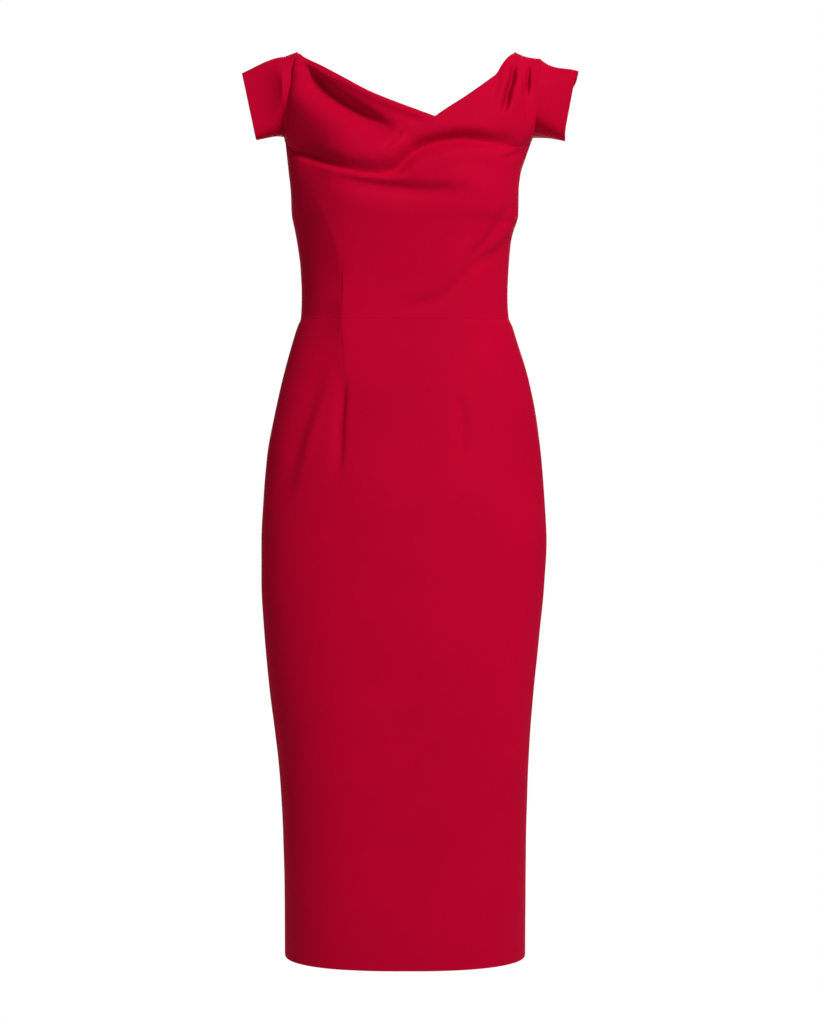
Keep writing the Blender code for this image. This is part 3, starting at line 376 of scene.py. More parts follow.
def between(places, known, rows):
    """The rows that lie at these places, with straight steps between the known ones."""
    return np.stack([np.interp(places, known, rows[:, k]) for k in range(3)], axis=-1)


def line_through(points):
    """A function from 0 to 1 along a smooth line, even by length as seen from the front."""
    points = np.array(points, float)
    place = lengths_along(points[:, :2])
    curve = smooth_curve(np.column_stack([place, points]))
    return lambda share: curve(share * place[-1])


def eased(count, ease):
    """Shares from 0 to 1, closer together at both ends."""
    even = np.linspace(0, 1, count + 1)
    return (1 - ease) * even + ease * (1 - np.cos(math.pi * even)) / 2


def with_edges(shares, extra=()):
    """The shares with closer ones beside both ends, and any extra ones."""
    first, last = shares[1], 1 - shares[-2]
    near = [first * step for step in EDGE_STEPS] + [1 - last * step for step in EDGE_STEPS]
    return np.unique(np.round(np.concatenate([shares, near, extra]), 9))


def unit(vectors):
    return vectors / np.maximum(np.linalg.norm(vectors, axis=-1, keepdims=True), 1e-9)


def smooth_step(x):
    x = np.clip(x, 0, 1)
    return x * x * (3 - 2 * x)


# ---- the body's form

section = smooth_curve(STATIONS)
bust_seam = smooth_curve(BUST_SEAM)
front_shares, back_shares = with_edges(eased(*FRONT_ROWS)), with_edges(eased(*BACK_ROWS))


QUARTER, CENTRE_BACK = 0.25, 0.75  # of a turn round the body


def body_point(turn, height):
    """A point on the outside of the cloth. turn: 0 at the left side seam, 0.25 centre front,
    0.5 right side seam, 0.75 centre back."""
    turn, height = np.broadcast_arrays(np.asarray(turn, float), np.asarray(height, float))
    left, right, front, back, square = np.moveaxis(section(height), -1, 0)
    across, ahead = -np.cos(2 * np.pi * turn), np.sin(2 * np.pi * turn)
    square = square + FRONT_SQUARE * (ahead > 0)
    middle, half = (right - left) / 2, (right + left) / 2
    x = middle + half * np.sign(across) * abs(across) ** (2 / square)
    depth = np.where(ahead > 0, front, back)
    y = -depth * np.sign(ahead) * abs(ahead) ** (2 / square)
    off_x, off_z = (abs(x) - CUP_AT[0]) / CUP_SPREAD[0], (height - CUP_AT[1]) / CUP_SPREAD[1]
    y = y - CUP_FULLNESS * np.clip(ahead, 0, 1) * np.exp(-(off_x**2) - off_z**2)
    return np.stack([x, y, height], axis=-1)


def waist_height(turn):
    return WAIST - WAIST_DIP * np.sin(2 * np.pi * turn)


def neck_point(edge):
    """A point of the front neckline or a shoulder seam, from its x and height."""
    x, height = edge[:, 0], edge[:, 1]
    depth = NECK_DEPTH - NECK_LEAN * (height - V_POINT[1])
    y = -depth * np.clip(1 - abs(x / NECK_HALF) ** NECK_SQUARE, 0, None) ** (1 / NECK_SQUARE)
    return np.stack([x, y, height], axis=-1)


def back_neck_point(x):
    height = BACK_NECK * (1 - abs(x / NECK_HALF) ** BACK_NECK_POWER)
    y = BACK_NECK_DEPTH * np.sqrt(np.clip(1 - (x / NECK_HALF) ** 2, 0, None))
    return np.stack([x, y, height], axis=-1)


def outwards(points):
    """The level direction straight out of the body at each point."""
    across, ahead = points[..., 0] / BODY_HALF**2, points[..., 1] / BODY_DEPTH**2
    return unit(np.stack([across, ahead, 0 * across], axis=-1))


def fold_rise(x, height, fold):
    """One fold: a bell across its line, as strong along it as its points' shares say."""
    near = np.full(x.shape, np.inf)
    rise = np.zeros(x.shape)
    points = line_through(fold.line)(np.linspace(0, 1, FOLD_STEPS + 1))
    for start, end in zip(points[:-1], points[1:]):
        run = end - start
        t = ((x - start[0]) * run[0] + (height - start[1]) * run[1]) / (run[:2] @ run[:2])
        t = np.clip(t, 0, 1)
        off_x, off_z = x - start[0] - t * run[0], height - start[1] - t * run[1]
        gap = np.hypot(off_x, off_z)
        reach = np.where(run[0] * off_z - run[1] * off_x > 0, fold.left, fold.right)
        bell = np.exp(-((gap / reach) ** fold.power))
        rise = np.where(gap < near, fold.depth * (start[2] + t * run[2]) * bell, rise)
        near = np.minimum(near, gap)
    return rise


def swell(points):
    """Slow uneven swells, the same ones each time."""
    random = np.random.default_rng(SWELL_SEED)
    rise = np.zeros(points.shape[:-1])
    for length in SWELL_LENGTHS:
        way = unit(random.normal(size=(3, 3)))
        phase = random.uniform(0, 2 * math.pi, 3)
        waves = np.sin(points @ way.T * (2 * math.pi / length) + phase)
        rise += waves[..., 0] * waves[..., 1] + 0.5 * waves[..., 2]
    return SWELL * rise / len(SWELL_LENGTHS)


def folded(grid, front):
    """The grid with every fold of the front or the back in it."""
    out = outwards(grid)
    facing = np.clip((-out[..., 1] if front else out[..., 1]) / FOLD_FADE, 0, 1)
    x, height = grid[..., 0], grid[..., 2]
    facing = facing**2 * (3 - 2 * facing)
    folds = FRONT_FOLDS if front else BACK_FOLDS
    rise = sum(fold_rise(x, height, fold) for fold in folds if not fold.straight)
    ahead = sum((fold_rise(x, height, fold) for fold in folds if fold.straight), 0 * x)
    result = grid + out * (rise * facing + swell(grid))[..., None]
    result[..., 1] -= ahead * facing
    return result


def turn_at(x, height, rear):
    """The turn at which the body has the given x. rear: whether on the back."""
    left, right, _, _, square = np.moveaxis(section(np.asarray(height, float)), -1, 0)
    square = square + (0 if rear else FRONT_SQUARE)
    across = (x - (right - left) / 2) / ((right + left) / 2)
    turn = np.arccos(-np.sign(across) * abs(across) ** (square / 2)) / (2 * np.pi)
    return 1 - turn if rear else turn


def bent_turns(turns, heights, darts, rear):
    """The turns of every grid point, with the columns at each dart bent to run along it."""
    bent = turns + 0 * heights
    for dart in darts:
        at_level = turn_at(dart.x, DART_LEVEL, rear)
        near = np.clip(1 - abs(turns - at_level) / DART_REACH, 0, 1)
        bent = bent + (turn_at(dart.x, heights, rear) - at_level) * near
    return bent


def dart_rise(turns, heights, darts, rear):
    """How far the darts draw a body panel's cloth in, as a crease that fades at its free end."""
    rise = np.zeros(heights.shape)
    grid = body_point(turns, heights)
    for dart in darts:
        near = body_point(turn_at(dart.x, heights, rear), heights)
        gap = np.linalg.norm(grid - near, axis=-1)
        length = (dart.top - dart.bottom) / 2
        share = smooth_step((dart.top - heights) / length)
        share = share * smooth_step((heights - dart.bottom) / length)
        rise -= dart.depth * share * np.exp(-gap / dart.reach)
    return rise


# ---- the panels' grids


def body_panel(turns, low, high, shares, darts=(), rear=False):
    """A grid on the body between two lines of heights, one height for each turn."""
    heights = low + (high - low) * shares[:, None]
    turns = bent_turns(turns, heights, darts, rear)
    grid = body_point(turns, heights)
    return grid + outwards(grid) * dart_rise(turns, heights, darts, rear)[..., None]


def upper_panel(turns, heights, edge, spread, rear, lean, shares):
    """A grid from the body up to a top edge. spread: shares from 0 at the armhole, where the
    panel's side is the armhole's arch. rear: -1 on the front, 1 on the back."""
    top = edge(spread)
    arch_share = (1 - spread) ** ARCH_FADE
    bottom = body_point(turns, heights)
    chord = top - bottom
    length = np.linalg.norm(chord, axis=-1, keepdims=True)
    up = unit(body_point(turns, heights + 1) - body_point(turns, heights - 1))
    across = body_point(turns + TURN_STEP, heights) - body_point(turns - TURN_STEP, heights)
    normal = unit(np.cross(unit(across), up))
    on_body = unit(chord - normal * (chord * normal).sum(axis=-1, keepdims=True))
    reach = ARM_DEPTH + LEFT_ARM_EXTRA * (rear < 0 and top[0, 0] < 0)
    arch = np.array([0, rear * ARCH_PEAK * reach, 0])
    arch_share = arch_share[:, None]
    leave = (1 - arch_share) * on_body * length + arch_share * arch
    over = np.clip(1 - abs(top[:, 1:2]) / NECK_DEPTH, 0, 1)
    lean = lean + (math.pi / 2 - lean) * over**LEAN_POWER
    ahead = np.concatenate([0 * lean, -rear * np.sin(lean), np.cos(lean)], axis=1)
    arrive = (1 - arch_share) * ahead * length * (1 + SHOULDER_ROUND * over) - arch_share * arch
    grid = hermite(bottom, leave, top, arrive, shares[:, None, None])
    bulge = ARCH_PEAK * shares * (1 - shares)
    squarer = np.where(shares < 0.5, bulge * (1 - bulge), 0)
    grid[..., 1] += rear * ARM_SQUARE * squarer[:, None] * arch_share[:, 0]
    return grid


def along_line(line, shares):
    """Points of a shoulder seam or the front neckline, even by its true length."""
    points = neck_point(line_through(line)(np.linspace(0, 1, EDGE_SAMPLES + 1) ** 2))
    length = lengths_along(points)
    return between(np.clip(shares, 0, 1) * length[-1], length, points)


left_shares = with_edges(np.linspace(0, 1, LEFT_COLUMNS + 1))
right_shares = with_edges(np.linspace(0, 1, RIGHT_COLUMNS + 1))
left_girths, right_girths = CROSSING * left_shares, CROSSING + (1 - CROSSING) * right_shares
back_spread = with_edges(np.linspace(0, 1, BACK_COLUMNS + 1))


def drape(side):
    """The upper front on one side. side: -1 left, 1 right."""
    shoulder, neck = (LEFT_SHOULDER, LEFT_NECK) if side < 0 else (RIGHT_SHOULDER, RIGHT_NECK)
    girths, spread = (left_girths, left_shares) if side < 0 else (right_girths, 1 - right_shares)
    heights = bust_seam(girths)[:, 0]

    def edge(shares):
        """Points of the shoulder seam and the neckline after it, for shares from the arm."""
        share = SHOULDER_SHARE[side]
        on_neck = along_line(neck, (shares - share) / (1 - share))
        return np.where((shares < share)[:, None], along_line(shoulder, shares / share), on_neck)

    return upper_panel(girths / 2, heights, edge, spread, -1, CHEST_LEAN, front_shares)


def proud_shares(girths):
    """How far the bust seam stands out, from 1 at the left underarm to 0."""
    return 1 - smooth_step(girths / BUST_SEAM_FADE)


def raised(shell, girths):
    """The front's top edge stands out along the left part of the bust seam."""
    up = lengths_along(shell.grid)
    rise = PROUD * proud_shares(girths) * np.exp(-(((up[-1] - up) / PROUD_REACH) ** 2))
    return shell.grid + shell.normals * rise[..., None]


def dart_shares(darts, first, last, rear=False):
    """Extra column places beside each dart, for a panel that runs between two turns."""
    places = [turn_at(dart.x + step, DART_LEVEL, rear) for dart in darts for step in DART_COLUMNS]
    return [float((place - first) / (last - first)) for place in places]


def bodice_front(girths):
    top = bust_seam(girths)[:, 0]
    shares = with_edges(eased(*LOWER_ROWS))
    return body_panel(girths / 2, waist_height(girths / 2), top, shares, BODICE_DARTS)


def back_neck_edge(side, shares):
    """The back neckline, from the shoulder seam to the centre back."""
    x = np.linspace(side * NECK_HALF, body_point(CENTRE_BACK, BACK_YOKE)[0], BACK_EDGE_SAMPLES)
    length = lengths_along(back_neck_point(x))
    return back_neck_point(np.interp(shares * length[-1], length, x))


def back_turns(side, spread):
    """Turns from the side seam to the centre back. side: -1 left, 1 right."""
    return CENTRE_BACK + side * QUARTER * (spread - 1)


def bodice_back(side):
    darts = BACK_BODICE_DARTS[side]
    extra = dart_shares(darts, *back_turns(side, np.array([0, 1])), rear=True)
    spread = np.unique(np.concatenate([back_spread, extra]))
    turns = back_turns(side, spread)
    yoke = UNDERARM + (BACK_YOKE - UNDERARM) * spread**2 * (3 - 2 * spread)
    low = waist_height(turns)
    lower = body_panel(turns, low, yoke, with_edges(eased(*BACK_LOWER_ROWS)), darts, True)
    share = BACK_SHOULDER_SHARE[side]
    shoulder = RIGHT_SHOULDER if side > 0 else LEFT_SHOULDER

    def edge(shares):
        on_shoulder = along_line(shoulder, shares / share)
        on_neck = back_neck_edge(side, np.clip((shares - share) / (1 - share), 0, 1))
        return np.where((shares < share)[:, None], on_shoulder, on_neck)

    upper = upper_panel(turns, yoke, edge, spread, 1, BACK_LEAN, back_shares)
    return np.concatenate([lower[:-2], upper[1:]]), len(lower) - 3


def sleeve(side, front_edge, back_edge):
    """A short sleeve from the armhole's ring to its cuff. The columns go round the arm."""
    armhole = np.concatenate([front_edge, back_edge[-2:0:-1]])
    turn = math.pi * np.concatenate([front_shares, 2 - back_shares[-2:0:-1]])
    cuff = CUFFS[side]
    up = (1 - np.sign(np.cos(turn)) * abs(np.cos(turn)) ** (2 / CUFF_SQUARE)) / 2
    y = -CUFF_DEPTH * np.sign(np.sin(turn)) * abs(np.sin(turn)) ** (2 / CUFF_SQUARE)
    underarm, shoulder = armhole[0], armhole[len(front_edge) - 1]

    def ring(bottom, top, bow, behind):
        x = bottom[0] + (top[0] - bottom[0]) * up
        x = x + side * (CUFF_TURN * y - bow * np.sin(turn) ** 2)
        height = bottom[1] + (top[1] - bottom[1]) * up + CUFF_TILT * (y + CUFF_DEPTH) * (1 - up)
        return np.stack([x, y + behind, height], axis=-1)

    top = (shoulder[0], shoulder[2])
    start = ring((underarm[0], underarm[2] - SLEEVE_DROP), top, 0.0, ARMHOLE_BACK)
    bottom, top = (cuff.bottom_x, cuff.bottom_height), (cuff.top_x, cuff.top_height)
    end = ring(bottom, top, cuff.bow, CUFF_BACK[side])
    share = with_edges(np.linspace(0, 1, SLEEVE_ROWS + 1) ** SLEEVE_EASE)[:, None, None]
    near = (1 - share) ** SLEEVE_FLAT[side]
    grid = armhole * near + start * (1 - near) + (end - start) * share
    share = share[..., 0]
    grid[..., 2] += cuff.crown * up**2 * CROWN_PEAK * share * (1 - share) ** 2
    return grid


def skirt(turns, darts, rear):
    shares = with_edges(eased(*SKIRT_ROWS))
    return body_panel(turns, HEM + 0 * turns, waist_height(turns), shares, darts, rear)


# ---- shells of cloth


class Shell:
    """A piece of cloth as a grid of points. rounds: the radii of its bottom, top, first and last
    edges, each one number or one for each point. hem: which edge is turned up inside."""

    def __init__(self, name, grid, rounds, ring=False, hem=None):
        self.name, self.grid, self.rounds, self.ring, self.hem = name, grid, rounds, ring, hem
        centres = grid.mean(axis=1, keepdims=True) if ring else grid * (0, 0, 1)
        self.normals = self.turned_out(centres)

    def turned_out(self, centres):
        if self.ring:
            across = np.roll(self.grid, -1, axis=1) - np.roll(self.grid, 1, axis=1)
        else:
            across = slopes(self.grid, axis=1)
        normals = unit(np.cross(across, slopes(self.grid, axis=0)))
        return normals * np.sign(((self.grid - centres) * normals).sum(axis=-1).mean())

    def edges(self):
        """For each edge: where its points and the next ones in are, and its radius."""
        sides = [(0, 0, 1), (0, -1, -2)]
        if not self.ring:
            sides += [(1, 0, 1), (1, -1, -2)]
        for number, (axis, edge, inner) in enumerate(sides):
            if axis == 0:
                yield number, (edge, slice(None)), (inner, slice(None)), self.rounds[number]
            else:
                yield number, (slice(None), edge), (slice(None), inner), self.rounds[number]

    def pulls(self):
        """How far each edge point is drawn back along the cloth, and its radius."""
        off = np.zeros_like(self.grid)
        radius = np.full(self.grid.shape[:2], FREE_ROUND)
        for _, place, inner, edge_radius in self.edges():
            line = self.grid[place]
            if self.ring:
                run = np.roll(line, -1, 0) - np.roll(line, 1, 0)
            else:
                run = np.gradient(line, axis=0)
            way = unit(np.cross(run, self.normals[place]))
            way *= np.sign((way * (line - self.grid[inner])).sum(axis=-1, keepdims=True))
            edge_radius = np.broadcast_to(edge_radius, line.shape[:1])
            off[place] += way * edge_radius[:, None]
            radius[place] = np.minimum(radius[place], edge_radius)
        return off, radius

    def hem_depth(self):
        """How much further in the inner side lies, where the hem is turned up."""
        if self.hem is None:
            return 0.0
        length = lengths_along(self.grid)
        away = length if self.hem == "bottom" else length[-1] - length
        turn = HEM_TURN if self.hem == "bottom" else CUFF_HEM_TURN
        return HEM_EXTRA * (1 - smooth_step((away - turn) / HEM_FADE))

    def mesh(self):
        """Outer side, rim and inner side as one closed mesh: points in metres, normals, faces."""
        rows, columns = self.grid.shape[:2]
        count = rows * columns
        off, radius = self.pulls()
        thick = (CLOTH + self.hem_depth() + np.zeros((rows, columns))).ravel()
        radius = radius.ravel()
        grid, normals, off = (part.reshape(-1, 3) for part in (self.grid, self.normals, off))
        aside = unit(off)
        loops = self.rim()
        edge = np.concatenate(loops)
        layers = [grid - off, grid - off - normals * thick[:, None]]
        turned = [normals, -normals]
        ball = radius[edge]
        far = np.maximum(thick[edge] - ball, ball * RIM_LEAST)
        for pull, sink, turn in (
            (RIM_CUT, RIM_CUT * ball, (1, 1)),
            (0.0, ball, (0, 1)),
            (0.0, far, (0, 1)),
            (RIM_CUT, thick[edge] - RIM_CUT * ball, (-1, 1)),
        ):
            layers.append(grid[edge] - off[edge] * pull - normals[edge] * sink[:, None])
            turned.append(unit(normals[edge] * turn[0] + aside[edge] * turn[1]))
        steps = columns if self.ring else columns - 1
        row, column = np.meshgrid(np.arange(rows - 1), np.arange(steps), indexing="ij")
        here, right = row * columns + column, row * columns + (column + 1) % columns
        outer = np.stack([here, right, right + columns, here + columns], axis=-1).reshape(-1, 4)
        faces = [outer, outer[:, ::-1] + count]
        start = 2 * count
        for line in loops:
            first = start + np.arange(len(line))
            spots = [line, *(first + k * len(edge) for k in range(4)), line + count]
            for one, other in zip(spots[:-1], spots[1:]):
                faces.append(np.stack([one, other, np.roll(other, -1), np.roll(one, -1)], axis=-1))
            start += len(line)
        return np.concatenate(layers) * MM, np.concatenate(turned), np.concatenate(faces)

    def rim(self):
        """The points round the edge: one loop, or two on a ring."""
        rows, columns = self.grid.shape[:2]
        index = np.arange(rows * columns).reshape(rows, columns)
        if self.ring:
            return [index[0], index[-1, ::-1]]
        return [np.concatenate([index[0], index[1:, -1], index[-1, -2::-1], index[-2:0:-1, 0]])]


def slopes(grid, axis):
    """Differences along the grid that suit its uneven steps."""
    step = np.diff(grid, axis=axis)
    length = np.linalg.norm(step, axis=-1, keepdims=True)
    slope = step / np.maximum(length, 1e-9)
    ahead, behind = np.take(slope, range(1, slope.shape[axis]), axis), np.delete(slope, -1, axis)
    after, before = np.take(length, range(1, slope.shape[axis]), axis), np.delete(length, -1, axis)
    middle = (ahead * before + behind * after) / (before + after)
    first, last = np.take(slope, [0], axis), np.take(slope, [-1], axis)
    return np.concatenate([first, middle, last], axis=axis)


def turn_edges_together(shells):
    """Where pieces are sewn together at their sides, or to a sleeve's start, their edges get one
    direction, so that no crease shows."""
    kept = []
    for shell in shells:
        for number, place, _, _ in shell.edges():
            if number > 1 or (shell.ring and number == 0):
                kept.append((shell, place))
    points = np.concatenate([shell.grid[place] for shell, place in kept])
    normals = np.concatenate([shell.normals[place] for shell, place in kept])
    for shell, place in kept:
        gap = np.linalg.norm(shell.grid[place][:, None] - points[None], axis=-1)
        weight = np.where(gap < SHARE_REACH, 1 / (gap + SHARE_SOFT) ** 2, 0.0)
        shell.normals[place] = unit((weight[..., None] * normals[None]).sum(axis=1))


def mesh_object(name, points, faces, material, normals=None):
    mesh = bpy.data.meshes.new(name)
    mesh.vertices.add(len(points))
    mesh.vertices.foreach_set("co", points.ravel())
    mesh.loops.add(faces.size)
    mesh.loops.foreach_set("vertex_index", outwards_faces(points, faces).ravel())
    mesh.polygons.add(len(faces))
    mesh.polygons.foreach_set("loop_start", np.arange(0, faces.size, faces.shape[1]))
    mesh.update(calc_edges=True)
    mesh.shade_smooth()
    if normals is not None:
        mesh.normals_split_custom_set_from_vertices(normals)
    mesh.materials.append(material)
    thing = bpy.data.objects.new(name, mesh)
    bpy.context.collection.objects.link(thing)
    return thing


def outwards_faces(points, faces):
    """The faces, turned so that a closed mesh's sides point out."""
    corner = points[faces]
    volume = (np.cross(corner[:, 0], corner[:, 1]) * corner[:, 2]).sum()
    volume += (np.cross(corner[:, 0], corner[:, 2]) * corner[:, -1]).sum()
    return faces if volume >= 0 else faces[:, ::-1]


# ---- materials

CREPE_RED = (0.51, 0.0013, 0.027)
SHEEN_RED = (0.9, 0.02, 0.08)


def set_inputs(node, values):
    for socket, value in values.items():
        node.inputs[socket].default_value = value


def add_node(tree, kind, values=(), links=(), **settings):
    """A new node. values: of its inputs. links: the outputs that lead to its inputs."""
    node = tree.nodes.new("ShaderNode" + kind)
    for name, value in settings.items():
        setattr(node, name, value)
    set_inputs(node, dict(values))
    for socket, source in dict(links).items():
        tree.links.new(source, node.inputs[socket])
    return node


def new_material(name, colour, values):
    """A material, its nodes, its shader and a link to each point's place. values: the shader's."""
    made = bpy.data.materials.new(name)
    made.use_nodes = True
    tree = made.node_tree
    shader = tree.nodes["Principled BSDF"]
    set_inputs(shader, {"Base Color": (*colour, 1), **values})
    made.diffuse_color = (*colour, 1)
    return made, tree, shader, {"Vector": add_node(tree, "TexCoord").outputs["Object"]}


def raise_surface(tree, shader, height, strength, distance):
    """The surface stands out as the height says. distance: in metres."""
    values = {"Strength": strength, "Distance": distance}
    bump = add_node(tree, "Bump", values, {"Height": height})
    tree.links.new(bump.outputs["Normal"], shader.inputs["Normal"])


def shade(tree, shader, tone, colour, shares, ends=(0, 1)):
    """The base colour goes from one share of the colour to the other, between the tone's ends."""
    ramp = add_node(tree, "ValToRGB", links={"Fac": tone})
    for stop, share, end in zip(ramp.color_ramp.elements, shares, ends):
        stop.position = end
        stop.color = (*(np.array(colour) * share), 1)
    tree.links.new(ramp.outputs["Color"], shader.inputs["Base Color"])


def crepe_material():
    """Matt crepe: a pebbled surface of twisted yarns, with slow changes of tone."""
    values = {"Roughness": 0.62, "Diffuse Roughness": 0.2, "Specular IOR Level": 0.01}
    values |= {"Sheen Weight": 0.03, "Sheen Roughness": 0.45, "Sheen Tint": (*SHEEN_RED, 1)}
    made, tree, shader, place = new_material("red_crepe_cloth", CREPE_RED, values)
    yarn = add_node(tree, "TexNoise", {"Scale": 1500, "Detail": 3, "Roughness": 0.6}, place)
    pebble = add_node(tree, "TexVoronoi", {"Scale": 900}, place, feature="SMOOTH_F1")
    sources = {0: pebble.outputs["Distance"], 2: yarn.outputs["Fac"]}
    height = add_node(tree, "Math", {1: 0.6}, sources, operation="MULTIPLY_ADD")
    raise_surface(tree, shader, height.outputs[0], strength=0.18, distance=0.0002)
    tone = add_node(tree, "TexNoise", {"Scale": 9, "Detail": 4}, place)
    shade(tree, shader, tone.outputs["Fac"], CREPE_RED, shares=(0.95, 1.04), ends=(0.3, 0.7))
    return made


# ---- the dress

crepe = crepe_material()


def cloth_shells():
    """Every piece of cloth, in the order of the solids."""
    seam, free, flush, waist = SEAM_ROUND, FREE_ROUND, FLUSH_ROUND, WAIST_ROUND
    sides, skirt_rounds = ((-1, "left"), (1, "right")), (free, waist, seam, seam)
    fronts = {side: folded(drape(side), True) for side, _ in sides}
    darts = dart_shares(BODICE_DARTS, 0, 0.5)
    girths = np.unique(np.concatenate([left_girths, right_girths[1:], darts]))
    proud = flush + (BUST_SEAM_ROUND - flush) * proud_shares(girths)
    front = raised(Shell("", folded(bodice_front(girths), True), None), girths)
    shells = [
        Shell("bodice_front", front, (waist, proud, seam, seam)),
        Shell("drape_left", fronts[-1], (flush, free, seam, flush)),
        Shell("drape_right", fronts[1], (flush, free, flush, seam)),
    ]
    sleeves = []
    for side, word in sides:
        grid, first = bodice_back(side)
        grid = folded(grid, False)
        shells.append(Shell(f"bodice_back_{word}", grid, (waist, free, seam, seam)))
        ring = sleeve(side, fronts[side][:, min(0, -side)], grid[first:, 0])
        sleeves.append(Shell(f"sleeve_{word}", ring, (flush, free), ring=True, hem="top"))
    even = with_edges(np.linspace(0, 1, SKIRT_FRONT_COLUMNS + 1))
    turns = np.unique(np.concatenate([even, dart_shares(SKIRT_DARTS, 0, 0.5)])) / 2
    grid = folded(skirt(turns, SKIRT_DARTS, False), True)
    shells.append(Shell("skirt_front", grid, skirt_rounds, hem="bottom"))
    for side, word in sides:
        extra = dart_shares(BACK_DARTS[side], *back_turns(side, np.array([0, 1])), rear=True)
        spread = with_edges(np.linspace(0, 1, SKIRT_BACK_COLUMNS + 1), extra)
        grid = folded(skirt(back_turns(side, spread), BACK_DARTS[side], True), False)
        shells.append(Shell(f"skirt_back_{word}", grid, skirt_rounds, hem="bottom"))
    shells += sleeves
    turn_edges_together(shells)
    return shells


# Each piece's cut without its seam allowances, laid flat: width and length in metres, and area in
# square metres.
Cut = namedtuple("Cut", "width length area held")


def add_cloth(shells):
    for shell in shells:
        points, normals, faces = shell.mesh()
        piece = mesh_object(f"{shell.name}_cloth", points, faces, crepe, normals)
        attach(piece, "dress")
        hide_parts(shell.name)


# ---- zip and sewing

TAPE_RED = (0.40, 0.002, 0.022)
THREAD_RED = (0.44, 0.002, 0.026)
LACQUER_RED = (0.42, 0.003, 0.025)
TAPE_DEPTH = 2.9  # from the outside of the cloth to the inside of the zip's tapes
ZIP_TOP, ZIP_END = -106.0, -498.0
COIL_PITCH, COIL_HALF, COIL_DEPTH = 1.4, 1.7, 0.55  # height of a turn, half its width and depth
COIL_RADIUS = 0.28
COIL_STEPS, COIL_SIDES = 12, 6
TAPER = 0.1  # share of the thread's radius that its ends keep
SLANT = (0.31, 0.12, 0.94)  # a direction in which no thread runs
STITCH_RADIUS = 0.14
STITCH_POINTS, STITCH_SIDES = 5, 4
HEM_STITCH, HEM_SPACING = 3.0, 7.0  # length and distance of the stitches that hold the hem
TAPE_STITCH, TAPE_SPACING = 2.0, 3.2
TAPE_SEWN_AT = 9.0  # from the middle of the zip


def ribbed_material(name, colour, roughness, scale, sheen):
    """Yarns laid side by side on the slant: a twill tape, or the twist of a thread."""
    values = {"Roughness": roughness, "Specular IOR Level": 0.2, "Sheen Weight": sheen}
    values |= {"Sheen Roughness": 0.45, "Sheen Tint": (*SHEEN_RED, 1)}
    made, tree, shader, place = new_material(name, colour, values)
    values = {"Scale": scale, "Distortion": 0.6, "Detail": 2}
    ribs = add_node(tree, "TexWave", values, place, bands_direction="DIAGONAL").outputs["Fac"]
    raise_surface(tree, shader, ribs, strength=0.35, distance=0.0002)
    shade(tree, shader, ribs, colour, shares=(0.8, 1.08))
    return made


def lacquer_material():
    """Lacquered metal with the faint unevenness of a sprayed coat."""
    values = {"Roughness": 0.45, "Specular IOR Level": 0.25}
    values |= {"Coat Weight": 0.08, "Coat Roughness": 0.12}
    made, tree, shader, place = new_material("red_lacquer", LACQUER_RED, values)
    spray = add_node(tree, "TexNoise", {"Scale": 900, "Detail": 2}, place).outputs["Fac"]
    raise_surface(tree, shader, spray, strength=0.08, distance=0.0001)
    shade(tree, shader, spray, LACQUER_RED, shares=(0.92, 1.06))
    return made


def round_thread(centres, radii, sides):
    """Points and faces of a thread round a line of centres."""
    along = unit(np.gradient(centres, axis=0))
    across = unit(np.cross(along, SLANT))
    upwards = np.cross(along, across)
    turn = 2 * np.pi * np.arange(sides)[:, None] / sides
    ring = across[:, None] * np.cos(turn) + upwards[:, None] * np.sin(turn)
    points = (centres[:, None] + ring * np.asarray(radii)[:, None, None]).reshape(-1, 3)
    row, side = np.meshgrid(np.arange(len(centres) - 1), np.arange(sides), indexing="ij")
    here, beside = row * sides + side, row * sides + (side + 1) % sides
    faces = np.stack([here, beside, beside + sides, here + sides], axis=-1).reshape(-1, 4)
    return points, faces


def add_threads(name, lines, radius, sides, material):
    """One piece of threads, each round its own line of centres, thin at both ends."""
    points, faces, count = [], [], 0
    for line in lines:
        radii = np.full(len(line), radius)
        radii[[0, -1]] *= TAPER
        some, sheets = round_thread(line, radii, sides)
        points.append(some)
        faces.append(sheets + count)
        count += len(some)
    piece = mesh_object(name, np.concatenate(points) * MM, np.concatenate(faces), material)
    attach(piece, "dress")


def stitch(start, end, out, rise):
    """A stitch's line: into the cloth at both ends, and over it between them."""
    share = np.linspace(0, 1, STITCH_POINTS)[:, None]
    return start + (end - start) * share + out * rise * np.sin(math.pi * share)


def centre_back(shells):
    """A function from a height to a point of the seam at the centre back and its normal."""
    parts = [shells["skirt_back_left"], shells["bodice_back_left"]]
    line = np.concatenate([part.grid[:, -1] for part in parts])
    normals = np.concatenate([part.normals[:, -1] for part in parts])
    order = np.argsort(line[:, 2])
    line, normals = line[order], normals[order]

    def at(height):
        return between(height, line[:, 2], line), unit(between(height, line[:, 2], normals))

    return at


